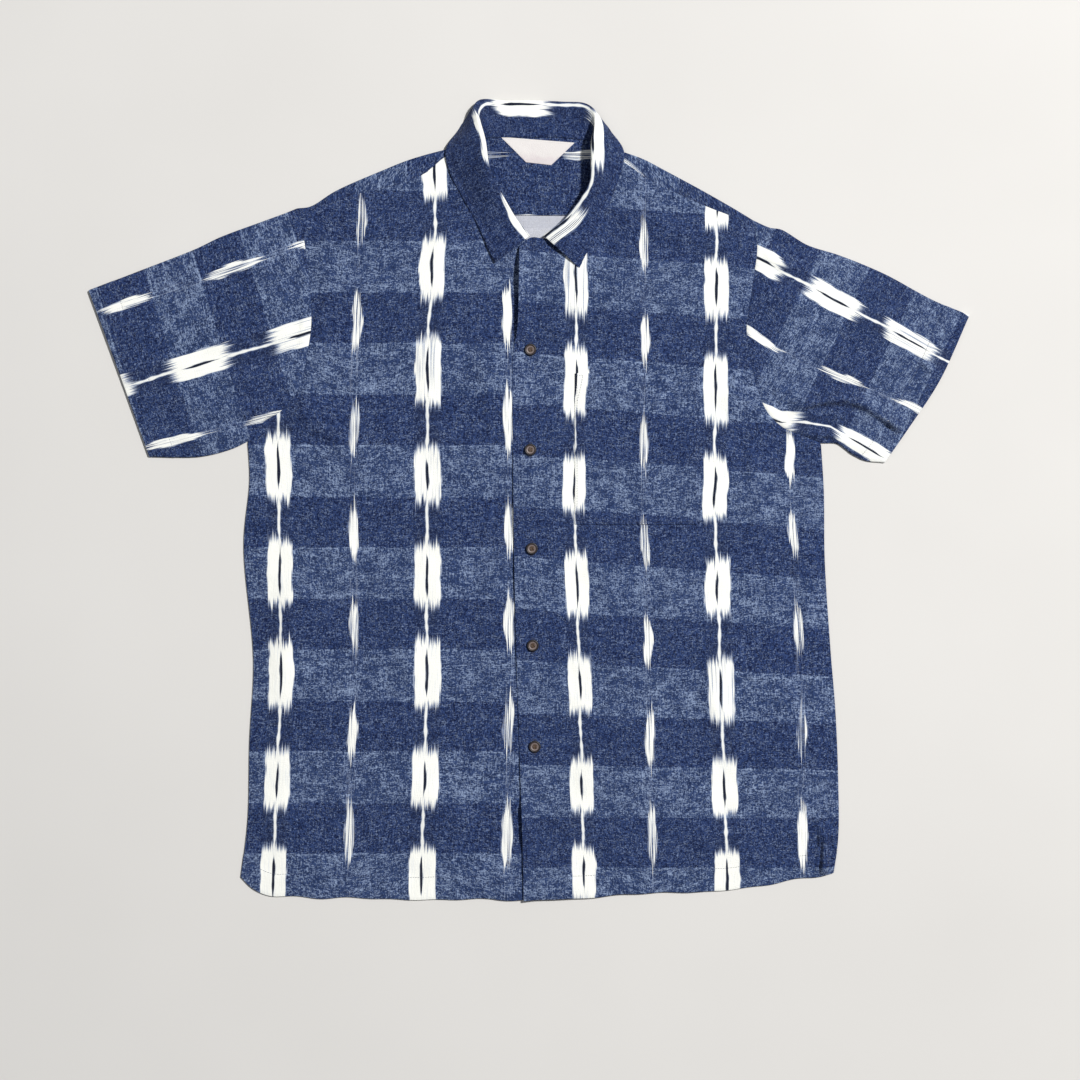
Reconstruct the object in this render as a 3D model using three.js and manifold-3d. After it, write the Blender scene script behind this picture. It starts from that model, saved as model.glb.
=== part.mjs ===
// Hawaiian shirt: a man's short-sleeved, open-front shirt in indigo ikat cotton, buttoned and laid flat.
//
// Frame: millimetres, +Z up, lying on z = 0 with the fronts up. +Y runs from the hem to the collar and +X
// to the wearer's left. Every piece of cloth is a sheet through the middle of its wall, made from the
// edges that a maker would cut, and then thickened. Sheets that meet at a seam share the seam's curve.

import * as THREE from 'three';
import { mergeGeometries, mergeVertices } from 'three/addons/utils/BufferGeometryUtils.js';
import Module from 'manifold-3d';

// ---- Driving dimensions -------------------------------------------------------------------------------

const WALL = 1.0; // cloth
const COLLAR_WALL = 1.2; // two plies and their stiffening
const SEAM_GAP = 0.5; // between pieces that are sewn edge to edge
const LAYER_GAP = 0.5; // between pieces that lie on each other

const GROUND = WALL / 2; // middle of the layer that lies on the surface
const LINING = GROUND + WALL + LAYER_GAP; // middle of the inner yoke, one layer up
const SIDE = 1.9; // middle of a front where it meets the back along the side seam and hem
const SHOULDER = 3.7; // middle of the top layer at the shoulders and over the sleeves
const LAP = 4.5; // middle of the left front where it laps over the right
const UNDERLAP = 2.5; // middle of the right front under that lap

const BUTTON = {
  diameter: 12.4, rim: 2.6, dish: 1.7, rimWidth: 2.0, bevel: 0.6, slope: 0.6, hole: 1.6, holeSpacing: 2.7,
  sides: 14,
};
const BUTTONS = [
  { x: 0.5, y: 157 },
  { x: 0.5, y: 53 },
  { x: 2, y: -49.5 },
  { x: 3, y: -150 },
  { x: 5, y: -255 },
];

const POCKET = { left: 47, right: 174, bottom: -24, top: 132 }; // chest pocket, on the left front
const LABEL = { foot: [[-4, 352], [22, 349]], head: [[-30, 378], [46, 372]] }; // corners of the neck label

// Folds that are large enough to stand out, as soft ridges (height above 0) and troughs (below 0).
// Each runs from one point to another and fades at its ends; width is its half width.
const FOLDS = [
  { fromX: 296, fromY: 106, toX: 372, toY: 96, width: 7, height: -1.2 }, // under the left arm
  { fromX: 290, fromY: 92, toX: 392, toY: 84, width: 11, height: 1.3 },
  { fromX: 252, fromY: 262, toX: 286, toY: 236, width: 8, height: 1.2 }, // head of the left sleeve
  { fromX: -262, fromY: 120, toX: -190, toY: 60, width: 12, height: 1.1 }, // under the right arm
  { fromX: -300, fromY: 250, toX: -390, toY: 205, width: 12, height: 0.9 }, // along the right sleeve
  { fromX: 226, fromY: 64, toX: 228, toY: 18, width: 6, height: 0.9 }, // beside the pocket
  { fromX: -170, fromY: -60, toX: -120, toY: -210, width: 16, height: 0.8 }, // down the right front
  { fromX: 180, fromY: -120, toX: 215, toY: -290, width: 15, height: 0.8 }, // down the left front
];
const FOLD_FADE = 0.15; // a fold's ends keep the height it has this far along it

// ---- Curves and sheets --------------------------------------------------------------------------------

// A smooth seam or edge through its points, each [x, y, z].
function edge(...points) {
  const nodes = points.map(([x, y, z]) => new THREE.Vector3(x, y, z));
  return new THREE.CatmullRomCurve3(nodes, false, 'centripetal');
}

// Points along an edge, evenly spaced between two fractions of its length.
function along(curve, steps, from = 0, to = 1) {
  const points = [];
  for (let i = 0; i <= steps; i++) {
    points.push(curve.getPointAt(THREE.MathUtils.lerp(from, to, i / steps)));
  }
  return points;
}

// One run of points out of several that follow each other end to end.
function joined(...runs) {
  return runs.reduce((all, run) => [...all, ...run.slice(1)]);
}

// A grid of points inside four edges that meet at their corners, rows from bottom to top.
function patch({ bottom, top, left, right, crown = 0 }) {
  const rows = left.length - 1;
  const columns = bottom.length - 1;
  const grid = [];
  for (let i = 0; i <= rows; i++) {
    const v = i / rows;
    const row = [];
    for (let j = 0; j <= columns; j++) {
      const u = j / columns;
      const across = left[i].clone().lerp(right[i], u);
      const up = bottom[j].clone().lerp(top[j], v);
      const low = bottom[0].clone().lerp(bottom[columns], u);
      const high = top[0].clone().lerp(top[columns], u);
      const point = across.add(up).sub(low.lerp(high, v));
      point.z += crown * Math.sqrt(16 * u * (1 - u) * v * (1 - v));
      row.push(point);
    }
    grid.push(row);
  }
  return grid;
}

// Height of the folds at a point of the top layer.
function foldHeight(x, y) {
  let height = 0;
  for (const fold of FOLDS) {
    const start = new THREE.Vector2(fold.fromX, fold.fromY);
    const run = new THREE.Vector2(fold.toX, fold.toY).sub(start);
    const offset = new THREE.Vector2(x, y).sub(start);
    const t = THREE.MathUtils.clamp(offset.dot(run) / run.lengthSq(), 0, 1);
    const distance = offset.addScaledVector(run, -t).length();
    const fade = Math.sin(Math.PI * THREE.MathUtils.clamp(t, FOLD_FADE, 1 - FOLD_FADE));
    height += fold.height * fade * Math.exp(-((distance / fold.width) ** 2));
  }
  return height;
}

// The same grid with its inner points raised by the folds. Its outer points keep to their seams.
function folded(grid) {
  for (let i = 1; i < grid.length - 1; i++) {
    for (let j = 1; j < grid[i].length - 1; j++) {
      grid[i][j].z += foldHeight(grid[i][j].x, grid[i][j].y);
    }
  }
  return grid;
}

// Grids of points as one sheet of triangles, welded where the grids share points.
function sheet(...grids) {
  const parts = grids.map((grid) => {
    const columns = grid[0].length;
    const geometry = new THREE.BufferGeometry().setFromPoints(grid.flat());
    const index = [];
    for (let i = 0; i + 1 < grid.length; i++) {
      for (let j = 0; j + 1 < columns; j++) {
        const a = i * columns + j;
        const c = a + columns;
        index.push(a, a + 1, c + 1, a, c + 1, c);
      }
    }
    geometry.setIndex(index);
    return geometry;
  });
  const welded = mergeVertices(mergeGeometries(parts), 1e-3);
  welded.computeVertexNormals();
  return welded;
}

// A sheet as a solid wall, half of it on each side of the sheet, closed along every free edge.
function thickened(flat, wall) {
  const position = flat.attributes.position;
  const normal = flat.attributes.normal;
  const count = position.count;
  const points = [];
  for (const side of [0.5, -0.5]) {
    for (let i = 0; i < count; i++) {
      const point = new THREE.Vector3().fromBufferAttribute(position, i);
      const out = new THREE.Vector3().fromBufferAttribute(normal, i);
      point.addScaledVector(out, side * wall);
      points.push(point.setZ(Math.max(point.z, 0))); // nothing goes below the surface it lies on
    }
  }
  const face = Array.from(flat.index.array);
  const index = [...face];
  const edges = new Set();
  for (let i = 0; i < face.length; i += 3) {
    index.push(face[i] + count, face[i + 2] + count, face[i + 1] + count);
    for (let k = 0; k < 3; k++) {
      edges.add(`${face[i + k]} ${face[i + ((k + 1) % 3)]}`);
    }
  }
  for (const name of edges) {
    const [a, b] = name.split(' ').map(Number);
    if (!edges.has(`${b} ${a}`)) {
      index.push(b, a, a + count, b, a + count, b + count);
    }
  }
  const solid = new THREE.BufferGeometry().setFromPoints(points);
  solid.setIndex(index);
  solid.computeVertexNormals();
  return solid;
}

// Height of a sheet above a point, from the triangle that the point falls in.
function heightOn(flat, x, y) {
  const position = flat.attributes.position;
  const face = flat.index.array;
  const target = new THREE.Vector3(x, y, 0);
  const weights = new THREE.Vector3();
  for (let i = 0; i < face.length; i += 3) {
    const corners = [0, 1, 2].map((k) => new THREE.Vector3().fromBufferAttribute(position, face[i + k]));
    const flatCorners = corners.map((corner) => corner.clone().setZ(0));
    THREE.Triangle.getBarycoord(target, ...flatCorners, weights);
    if (Math.min(weights.x, weights.y, weights.z) > -1e-6) {
      return corners[0].z * weights.x + corners[1].z * weights.y + corners[2].z * weights.z;
    }
  }
  throw new Error(`no cloth at ${x}, ${y}`);
}

// The same grid, pulled in square to the named sides by a gap, so that neighbours stay apart at a seam.
function inset(grid, gap, sides = ['bottom', 'top', 'left', 'right']) {
  const last = grid.length - 1;
  const end = grid[0].length - 1;
  const moved = grid.map((row) => row.map((point) => point.clone()));
  const pull = (i, j, inner, before, after) => {
    const run = after.clone().sub(before).normalize();
    const inward = inner.clone().sub(grid[i][j]);
    inward.addScaledVector(run, -inward.dot(run)).normalize();
    moved[i][j].addScaledVector(inward, gap);
  };
  for (const [side, i, step] of [['bottom', 0, 1], ['top', last, -1]]) {
    for (let j = 0; sides.includes(side) && j <= end; j++) {
      pull(i, j, grid[i + step][j], grid[i][Math.max(j - 1, 0)], grid[i][Math.min(j + 1, end)]);
    }
  }
  for (const [side, j, step] of [['left', 0, 1], ['right', end, -1]]) {
    for (let i = 0; sides.includes(side) && i <= last; i++) {
      pull(i, j, grid[i][j + step], grid[Math.max(i - 1, 0)][j], grid[Math.min(i + 1, last)][j]);
    }
  }
  return moved;
}

// ---- Edges that the pieces share ----------------------------------------------------------------------

const ARM_STEPS = 12; // steps round half an armhole, on the body and on the sleeve alike
const SEAM_STEPS = 10; // steps along a front yoke seam, on the yoke and on the front alike

// Armholes, from the shoulder down to the underarm.
const armholeRight = edge(
  [-242, 304, SHOULDER], [-234, 267, SHOULDER], [-227, 190, SHOULDER], [-230, 161, 3.6],
  [-241, 115, 3.3], [-258, 94, 2.8], [-277, 82, 2.2], [-293, 62, SIDE],
);
const armholeLeft = edge(
  [231, 292, SHOULDER], [236, 265, SHOULDER], [232, 230, SHOULDER], [225, 179, SHOULDER],
  [231, 136, 3.4], [245, 95, 2.9], [262, 77, 2.5], [283, 68, 2.2], [302, 60, SIDE],
);

// Side seams, from the hem up to the underarm.
const sideRight = edge(
  [-300, -390, SIDE], [-293, -332, SIDE], [-291, -249, SIDE], [-287, -165, SIDE],
  [-297, -46, SIDE], [-291, 22, SIDE], [-293, 62, SIDE],
);
const sideLeft = edge(
  [315, -386, SIDE], [320, -350, SIDE], [320, -290, SIDE], [317, -217, SIDE], [312, -155, SIDE],
  [306, -61, SIDE], [305, 11, SIDE], [302, 60, SIDE],
);

// Shoulder folds, from the armhole in to the neck, where the yoke turns over to the front.
const foldRight = edge(
  [-242, 304, 0], [-228, 306, 0], [-202, 322, 0], [-152, 344, 0],
  [-124, 355, 0], [-84, 366, 0], [-59, 371, 0],
);
const foldLeft = edge(
  [231, 292, 0], [213, 303, 0], [178, 323, 0], [139, 344, 0],
  [118, 355, 0], [96, 363, 0], [76, 370, 0],
);

// Front yoke seams, from the armhole in to the neck.
const yokeSeamRight = edge(
  [-240, 296, SHOULDER], [-187, 316, SHOULDER], [-135, 328, SHOULDER],
  [-107, 341, SHOULDER], [-85, 358, SHOULDER], [-58, 363, SHOULDER],
);
const yokeSeamLeft = edge(
  [232, 283, SHOULDER], [208, 295, SHOULDER], [182, 305, SHOULDER],
  [123, 333, SHOULDER], [96, 352, SHOULDER], [75, 362, SHOULDER],
);

// Back yoke seam and back neck, from the wearer's right to left, on the surface.
const backSeam = edge(
  [-236, 276, GROUND], [-135, 295, GROUND], [3, 298, GROUND], [135, 293, GROUND], [236, 265, GROUND],
);
const backNeck = edge(
  [-59, 369, GROUND], [-52, 375, GROUND], [-31, 379, GROUND], [3, 380, GROUND],
  [37, 379, GROUND], [65, 375, GROUND], [76, 368, GROUND],
);

// Front necklines, from the front edge up to the shoulder.
const neckRight = edge(
  [17, 268, UNDERLAP], [-3, 271, 2.8], [-19, 284, 3.2], [-33, 304, 3.5],
  [-46, 324, SHOULDER], [-55, 345, SHOULDER], [-58, 363, SHOULDER],
);
const neckLeft = edge(
  [-11, 264, LAP], [1, 273, LAP], [19, 272, LAP], [35, 282, 4.3], [55, 301, 4.0],
  [69, 322, SHOULDER], [74, 344, SHOULDER], [75, 362, SHOULDER],
);

// Front edges, from the hem up to the neck.
const openingRight = edge([17, -414, UNDERLAP], [16, 1, UNDERLAP], [17, 268, UNDERLAP]);
const openingLeft = edge(
  [-6, -415, LAP], [-8, -342, LAP], [-11, -249, LAP], [-15, -124, LAP], [-17, 1, LAP],
  [-17, 157, LAP], [-13, 178, LAP], [-11, 264, LAP],
);

// Hems, from the wearer's right to left.
const hemRight = edge(
  [-300, -390, SIDE], [-288, -402, SIDE], [-272, -409, SIDE], [-240, -411, SIDE],
  [-114, -413, 2.2], [17, -414, UNDERLAP],
);
const hemLeft = edge(
  [-6, -415, LAP], [31, -413, 4.2], [94, -409, 3.4], [177, -405, 2.6],
  [224, -402, 2.2], [266, -394, SIDE], [296, -391, SIDE], [315, -386, SIDE],
);
const hemBack = edge(
  [-300, -390, GROUND], [-288, -400, GROUND], [-272, -406, GROUND], [-114, -410, GROUND], [0, -411, GROUND],
  [94, -406, GROUND], [224, -398, GROUND], [266, -391, GROUND], [296, -388, GROUND], [315, -386, GROUND],
);

// The same points laid on the surface, or lifted to another layer.
function laid(points, height = GROUND) {
  return points.map((point) => point.clone().setZ(height));
}

// From the underarm up an armhole, to where the back yoke seam meets it.
function upArmhole(armhole) {
  return along(armhole, ARM_STEPS - 1, 1, 1 / ARM_STEPS);
}

// ---- Pieces -------------------------------------------------------------------------------------------

const shirt = new THREE.Group();

function add(name, geometry, look) {
  const mesh = new THREE.Mesh(geometry, new THREE.MeshStandardMaterial(look));
  mesh.name = name;
  shirt.add(mesh);
  return mesh;
}

const CLOTH = { color: 0x3c4f7b, roughness: 0.92, metalness: 0 };
const TWILL = { color: 0xd9d4d2, roughness: 0.8, metalness: 0 };
const SHELL = { color: 0x4a3227, roughness: 0.45, metalness: 0 };

// Back: one panel from the yoke seam to the hem, flat on the surface.
const SIDE_STEPS = 12;
const backGrid = patch({
  bottom: along(hemBack, SEAM_STEPS),
  top: along(backSeam, SEAM_STEPS),
  left: laid(joined(along(sideRight, SIDE_STEPS), upArmhole(armholeRight))),
  right: laid(joined(along(sideLeft, SIDE_STEPS), upArmhole(armholeLeft))),
});
add('back', thickened(sheet(inset(backGrid, SEAM_GAP / 2)), WALL), CLOTH);

// Yokes: the outer one turns over the shoulders to a seam on each front, and the inner one lies flat
// inside it. Both are cut to the back neck between the shoulders.
const NECK_STEPS = 8;
const YOKE_ROWS = 3;
const FOLD_RADIUS = (SHOULDER - GROUND) / 2;
const TURN_ANGLES = [-90, -45, 0, 45, 90]; // steps round a folded edge, in degrees
const LINING_INSET = 5; // inner yoke to the shoulder fold

// The yoke's upper edge on one level, from the wearer's right to left: a distance in from each shoulder
// fold, and between the shoulders the back neck.
function shoulderLine(distance, height) {
  const turned = (folds, seams) => folds.map((point, i) => {
    const outward = point.clone().sub(seams[i]).setZ(0).normalize();
    return point.clone().addScaledVector(outward, -distance);
  });
  const right = turned(along(foldRight, SEAM_STEPS), along(yokeSeamRight, SEAM_STEPS));
  const left = turned(along(foldLeft, SEAM_STEPS, 1, 0), along(yokeSeamLeft, SEAM_STEPS, 1, 0));
  const neck = along(backNeck, NECK_STEPS).slice(1, -1);
  return laid([...right, ...neck, ...left], height);
}

// One flat layer of yoke, from the back yoke seam to that upper edge.
function yokeLayer(distance, height) {
  const top = shoulderLine(distance, height);
  const left = along(armholeRight, YOKE_ROWS, 1 / ARM_STEPS, 0).slice(0, -1);
  const right = along(armholeLeft, YOKE_ROWS, 1 / ARM_STEPS, 0).slice(0, -1);
  return patch({
    bottom: laid(along(backSeam, top.length - 1), height),
    top,
    left: [...laid(left, height), top[0]],
    right: [...laid(right, height), top[top.length - 1]],
  });
}

// A half turn about a fold, from the layer on the surface up to the layer at the given height. The
// outward direction points away from the cloth, and the point is on the folded edge's outline.
function halfTurn(point, outward, height) {
  const radius = (height - GROUND) / 2;
  return TURN_ANGLES.map((degrees) => {
    const angle = THREE.MathUtils.degToRad(degrees);
    const turned = point.clone().addScaledVector(outward, radius * (Math.cos(angle) - 1) - WALL / 2);
    return turned.setZ(GROUND + radius * (1 + Math.sin(angle)));
  });
}

// The part of the outer yoke that turns over a shoulder and ends at a front, a column per fold point.
function yokeArm(folds, seams) {
  const columns = folds.map((point, i) => {
    const outward = point.clone().sub(seams[i]).setZ(0).normalize();
    const turn = halfTurn(point, outward, SHOULDER);
    const middle = turn[turn.length - 1].clone().lerp(seams[i], 0.5);
    return [...turn, middle, seams[i]];
  });
  return columns[0].map((_, i) => columns.map((column) => column[i]));
}

const outerUnder = inset(yokeLayer(WALL / 2 + FOLD_RADIUS, GROUND), SEAM_GAP / 2, ['bottom', 'left', 'right']);
const armRight = yokeArm(along(foldRight, SEAM_STEPS), along(yokeSeamRight, SEAM_STEPS));
const armLeft = yokeArm(along(foldLeft, SEAM_STEPS, 1, 0), along(yokeSeamLeft, SEAM_STEPS, 1, 0));
const outerYoke = sheet(
  outerUnder,
  inset(armRight, SEAM_GAP / 2, ['top', 'left']),
  inset(armLeft, SEAM_GAP / 2, ['top', 'right']),
);
add('yoke_outer', thickened(outerYoke, WALL), CLOTH);

const innerYoke = sheet(inset(yokeLayer(LINING_INSET, LINING), LAYER_GAP, ['left', 'right']));
add('yoke_inner', thickened(innerYoke, WALL), CLOTH);

// Fronts: each from its hem to the yoke seam, with its side seam and armhole on the outside and its
// opening and neckline on the inside. The left one laps over the right.
const OPENING_STEPS = 17;
const NECKLINE_STEPS = 7;
const CROWN = 1.0; // how far the middle of a front stands above its edges

const rightFront = sheet(inset(folded(patch({
  bottom: along(hemRight, SEAM_STEPS),
  top: along(yokeSeamRight, SEAM_STEPS),
  left: [...along(sideRight, SIDE_STEPS), ...upArmhole(armholeRight).slice(1), yokeSeamRight.getPoint(0)],
  right: joined(along(openingRight, OPENING_STEPS), along(neckRight, NECKLINE_STEPS)),
  crown: CROWN,
})), SEAM_GAP / 2));
add('front_right', thickened(rightFront, WALL), CLOTH);

const leftFront = sheet(inset(folded(patch({
  bottom: along(hemLeft, SEAM_STEPS),
  top: along(yokeSeamLeft, SEAM_STEPS, 1, 0),
  left: joined(along(openingLeft, OPENING_STEPS), along(neckLeft, NECKLINE_STEPS)),
  right: [...along(sideLeft, SIDE_STEPS), ...upArmhole(armholeLeft).slice(1), yokeSeamLeft.getPoint(0)],
  crown: CROWN,
})), SEAM_GAP / 2));
add('front_left', thickened(leftFront, WALL), CLOTH);

// Sleeves: each a tube that lies flat, folded along its upper and lower edges and open at the cuff. The
// grid of the top layer gives the tube: round the lower fold, over, round the upper fold, and back under.
const SLEEVE_STEPS = 8;
const SLEEVE_CROWN = 0.6; // how far the middle of a sleeve stands above its edges
const UNDERARM_GAP = 0.8; // more room where the sleeve, the fronts and the back all meet
const SLANT = 0.25; // where a fold meets a seam at a slant, the least slant that is allowed for

function tube(top) {
  const last = top.length - 1;
  const end = top[0].length - 1;
  const outwardAt = (i, j, step) => {
    const run = top[i][Math.min(j + 1, end)].clone().sub(top[i][Math.max(j - 1, 0)]).setZ(0).normalize();
    const outward = top[i][j].clone().sub(top[i + step][j]).setZ(0).normalize();
    const square = outward.clone().addScaledVector(run, -outward.dot(run)).length();
    return outward.divideScalar(Math.max(square, SLANT));
  };
  const columns = top[0].map((_, j) => {
    const column = top.map((row) => row[j]);
    const over = column.slice(1, -1);
    const lower = halfTurn(column[0], outwardAt(0, j, 1), column[0].z);
    const upper = halfTurn(column[last], outwardAt(last, j, -1), column[last].z).reverse();
    return [...lower, ...over, ...upper, ...laid(over).reverse(), lower[0].clone()];
  });
  return columns[0].map((_, i) => columns.map((column) => column[i]));
}

// The same tube with its underarm fold shortened at the seam, clear of the end of the side seam. The
// seam is at the column of the first number, and its neighbour at the second.
function eased(grid, seam, neighbour) {
  for (const i of [...TURN_ANGLES.keys(), grid.length - 1]) {
    const away = grid[i][neighbour].clone().sub(grid[i][seam]).setLength(UNDERARM_GAP);
    grid[i][seam].add(away);
  }
  return grid;
}

const rightSleeve = tube(folded(patch({
  bottom: along(edge([-395, 46, 3.2], [-343, 46, 3.0], [-310, 54, 2.3], [-293, 62, SIDE]), SLEEVE_STEPS),
  top: along(edge(
    [-458, 219, SHOULDER], [-406, 239, SHOULDER], [-347, 262, SHOULDER], [-322, 274, SHOULDER],
    [-279, 290, SHOULDER], [-257, 298, SHOULDER], [-242, 304, SHOULDER],
  ), SLEEVE_STEPS),
  left: along(edge([-395, 46, 3.2], [-428, 138, SHOULDER], [-458, 219, SHOULDER]), ARM_STEPS),
  right: along(armholeRight, ARM_STEPS, 1, 0),
  crown: SLEEVE_CROWN,
})));
const rightSleeveClear = eased(inset(rightSleeve, SEAM_GAP, ['right']), SLEEVE_STEPS, SLEEVE_STEPS - 1);
add('sleeve_right', thickened(sheet(rightSleeveClear), WALL), CLOTH);

const leftSleeve = tube(folded(patch({
  bottom: along(edge(
    [302, 60, SIDE], [320, 59, 2.3], [335, 48, 2.8], [349, 42, 3.0], [368, 40, 3.2],
  ), SLEEVE_STEPS),
  top: along(edge(
    [231, 292, SHOULDER], [249, 284, SHOULDER], [261, 282, SHOULDER], [288, 266, SHOULDER],
    [322, 255, SHOULDER], [368, 236, SHOULDER], [418, 209, SHOULDER], [456, 193, SHOULDER],
  ), SLEEVE_STEPS),
  left: along(armholeLeft, ARM_STEPS, 1, 0),
  right: along(edge(
    [368, 40, 3.2], [393, 76, 3.5], [425, 125, SHOULDER], [456, 193, SHOULDER],
  ), ARM_STEPS),
  crown: SLEEVE_CROWN,
})));
const leftSleeveClear = eased(inset(leftSleeve, SEAM_GAP, ['left']), 0, 1);
add('sleeve_left', thickened(sheet(leftSleeveClear), WALL), CLOTH);

// Collar: it stands from the neck seam to its roll and falls to its free edge. A row per section, from
// the wearer's right point round the back to the left point.
const COLLAR_STEPS = 30;
const STAND_STEPS = 4;
const FALL_STEPS = 5;
const ROLL_TENSION = 0.6; // how full the collar's roll is
const LANDING = 0.3; // how steeply its free edge comes down, as a part of the fall's own slope
const COLLAR_SECTIONS = [
  { seam: [-4, 274.5, 4.2], roll: [-1, 275, 7.5], edge: [-36, 248, 6.4] },
  { seam: [-17.5, 287, 4.2], roll: [-15, 292, 12], edge: [-43, 262, 6.4] },
  { seam: [-32, 305, 4.2], roll: [-28, 313, 17], edge: [-54, 287, 6.2] },
  { seam: [-44.5, 325.5, 4.2], roll: [-40.5, 333, 21], edge: [-71, 318, 6.2] },
  { seam: [-53, 346, 4.2], roll: [-45, 352.5, 23], edge: [-83, 342, 6.4] },
  { seam: [-56.5, 365, 4.0], roll: [-48, 374, 23], edge: [-87, 364, 6.2] },
  { seam: [-54, 376, 3.2], roll: [-54, 396, 18], edge: [-74, 385, 0.9] },
  { seam: [-48, 378.5, 2.8], roll: [-57, 407, 13], edge: [-65, 397, 0.9] },
  { seam: [-41.5, 380, 2.5], roll: [-51, 415, 8], edge: [-50, 391, 0.9] },
  { seam: [-21, 381.5, 2.4], roll: [-24, 415, 5.5], edge: [-22, 383, 0.9] },
  { seam: [3, 381.5, 2.4], roll: [3, 415, 5.5], edge: [3, 382, 0.9] },
  { seam: [31, 381.5, 2.4], roll: [33, 413, 5.5], edge: [31, 383, 0.9] },
  { seam: [56, 378.5, 2.6], roll: [57, 411, 8], edge: [56, 390, 0.9] },
  { seam: [63.5, 377, 2.9], roll: [66, 403, 13], edge: [74, 394, 0.9] },
  { seam: [70, 375, 3.2], roll: [67.5, 392, 18], edge: [85, 382, 0.9] },
  { seam: [73.5, 364, 4.0], roll: [65, 372.5, 23], edge: [97, 362, 6.2] },
  { seam: [72, 344, 4.2], roll: [65, 351.5, 23], edge: [94, 342, 6.4] },
  { seam: [67, 323.5, 4.2], roll: [63.5, 330, 21], edge: [85, 317, 6.2] },
  { seam: [53.5, 301.5, 4.2], roll: [52, 310, 17], edge: [72, 285, 6.2] },
  { seam: [34, 283.5, 5.1], roll: [35.5, 291, 12], edge: [61, 261, 6.6] },
  { seam: [17, 273.5, 6.0], roll: [14.5, 275, 8], edge: [51, 242, 6.8] },
];

// A point between two ends that leaves and arrives in the given directions.
function between(start, leaving, end, arriving, t) {
  const hermite = new THREE.Vector3();
  hermite.addScaledVector(start, (1 + 2 * t) * (1 - t) ** 2);
  hermite.addScaledVector(leaving, t * (1 - t) ** 2);
  hermite.addScaledVector(end, t * t * (3 - 2 * t));
  return hermite.addScaledVector(arriving, t * t * (t - 1));
}

const collarColumns = [];
const [neckSeam, roll, freeEdge] = ['seam', 'roll', 'edge'].map((name) => {
  return edge(...COLLAR_SECTIONS.map((section) => section[name]));
});
for (let i = 0; i <= COLLAR_STEPS; i++) {
  const [seam, top, tip] = [neckSeam, roll, freeEdge].map((curve) => curve.getPoint(i / COLLAR_STEPS));
  const stand = top.clone().sub(seam);
  const fall = tip.clone().sub(top);
  const over = tip.clone().sub(seam).normalize();
  const arriving = fall.clone().multiply(new THREE.Vector3(1, 1, LANDING));
  const column = [];
  for (let k = 0; k < STAND_STEPS; k++) {
    const bend = over.clone().multiplyScalar(ROLL_TENSION * stand.length());
    column.push(between(seam, stand, top, bend, k / STAND_STEPS));
  }
  for (let k = 0; k <= FALL_STEPS; k++) {
    const bend = over.clone().multiplyScalar(ROLL_TENSION * fall.length());
    column.push(between(top, bend, tip, arriving, k / FALL_STEPS));
  }
  collarColumns.push(column);
}
add('collar', thickened(sheet(collarColumns), COLLAR_WALL), CLOTH);

// Chest pocket: a patch on the left front, which follows it one layer out.
const POCKET_ROWS = 7;
const POCKET_COLUMNS = 6;
const pocketGrid = [];
for (let i = 0; i <= POCKET_ROWS; i++) {
  const y = THREE.MathUtils.lerp(POCKET.bottom, POCKET.top, i / POCKET_ROWS);
  const row = [];
  for (let j = 0; j <= POCKET_COLUMNS; j++) {
    const x = THREE.MathUtils.lerp(POCKET.left, POCKET.right, j / POCKET_COLUMNS);
    row.push(new THREE.Vector3(x, y, heightOn(leftFront, x, y) + WALL + LAYER_GAP));
  }
  pocketGrid.push(row);
}
add('pocket', thickened(sheet(pocketGrid), WALL), CLOTH);

// Neck label: a small plain trapezoid on the inner yoke, with its wide end at the neck seam.
const labelHeight = LINING + WALL + LAYER_GAP;
const labelGrid = [LABEL.foot, LABEL.head].map((row) => {
  return row.map(([x, y]) => new THREE.Vector3(x, y, labelHeight));
});
add('label', thickened(sheet(labelGrid), WALL), TWILL);

// Buttons: a turned disc with a raised rim and four thread holes, on the left front down the centre.
const DRILL_SIDES = 6;
const wasm = await Module();
wasm.setup();

function solidOf(geometry) {
  geometry.deleteAttribute('normal');
  geometry.deleteAttribute('uv');
  const welded = mergeVertices(geometry, 1e-4);
  const face = welded.index.array;
  const kept = [];
  for (let i = 0; i < face.length; i += 3) {
    const [a, b, c] = face.slice(i, i + 3);
    if (a !== b && b !== c && c !== a) kept.push(a, b, c);
  }
  const vertProperties = welded.attributes.position.array;
  return new wasm.Manifold(new wasm.Mesh({ numProp: 3, vertProperties, triVerts: new Uint32Array(kept) }));
}

function buttonGeometry() {
  const radius = BUTTON.diameter / 2;
  const dish = radius - BUTTON.rimWidth;
  const outline = [
    [0, 0], [radius - BUTTON.bevel, 0], [radius, BUTTON.bevel],
    [radius, BUTTON.rim - BUTTON.bevel], [radius - BUTTON.bevel, BUTTON.rim],
    [dish + BUTTON.slope / 2, BUTTON.rim], [dish - BUTTON.slope / 2, BUTTON.dish], [0, BUTTON.dish],
  ].map(([x, y]) => new THREE.Vector2(x, y));
  let button = solidOf(new THREE.LatheGeometry(outline, BUTTON.sides).rotateX(Math.PI / 2));
  for (const x of [-0.5, 0.5]) {
    for (const y of [-0.5, 0.5]) {
      const drill = new THREE.CylinderGeometry(BUTTON.hole / 2, BUTTON.hole / 2, 3 * BUTTON.rim, DRILL_SIDES);
      drill.rotateX(Math.PI / 2).translate(x * BUTTON.holeSpacing, y * BUTTON.holeSpacing, 0);
      button = button.subtract(solidOf(drill));
    }
  }
  const mesh = button.getMesh();
  const geometry = new THREE.BufferGeometry();
  geometry.setAttribute('position', new THREE.BufferAttribute(mesh.vertProperties, 3));
  geometry.setIndex(new THREE.BufferAttribute(mesh.triVerts, 1));
  geometry.computeVertexNormals();
  return geometry;
}

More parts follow.
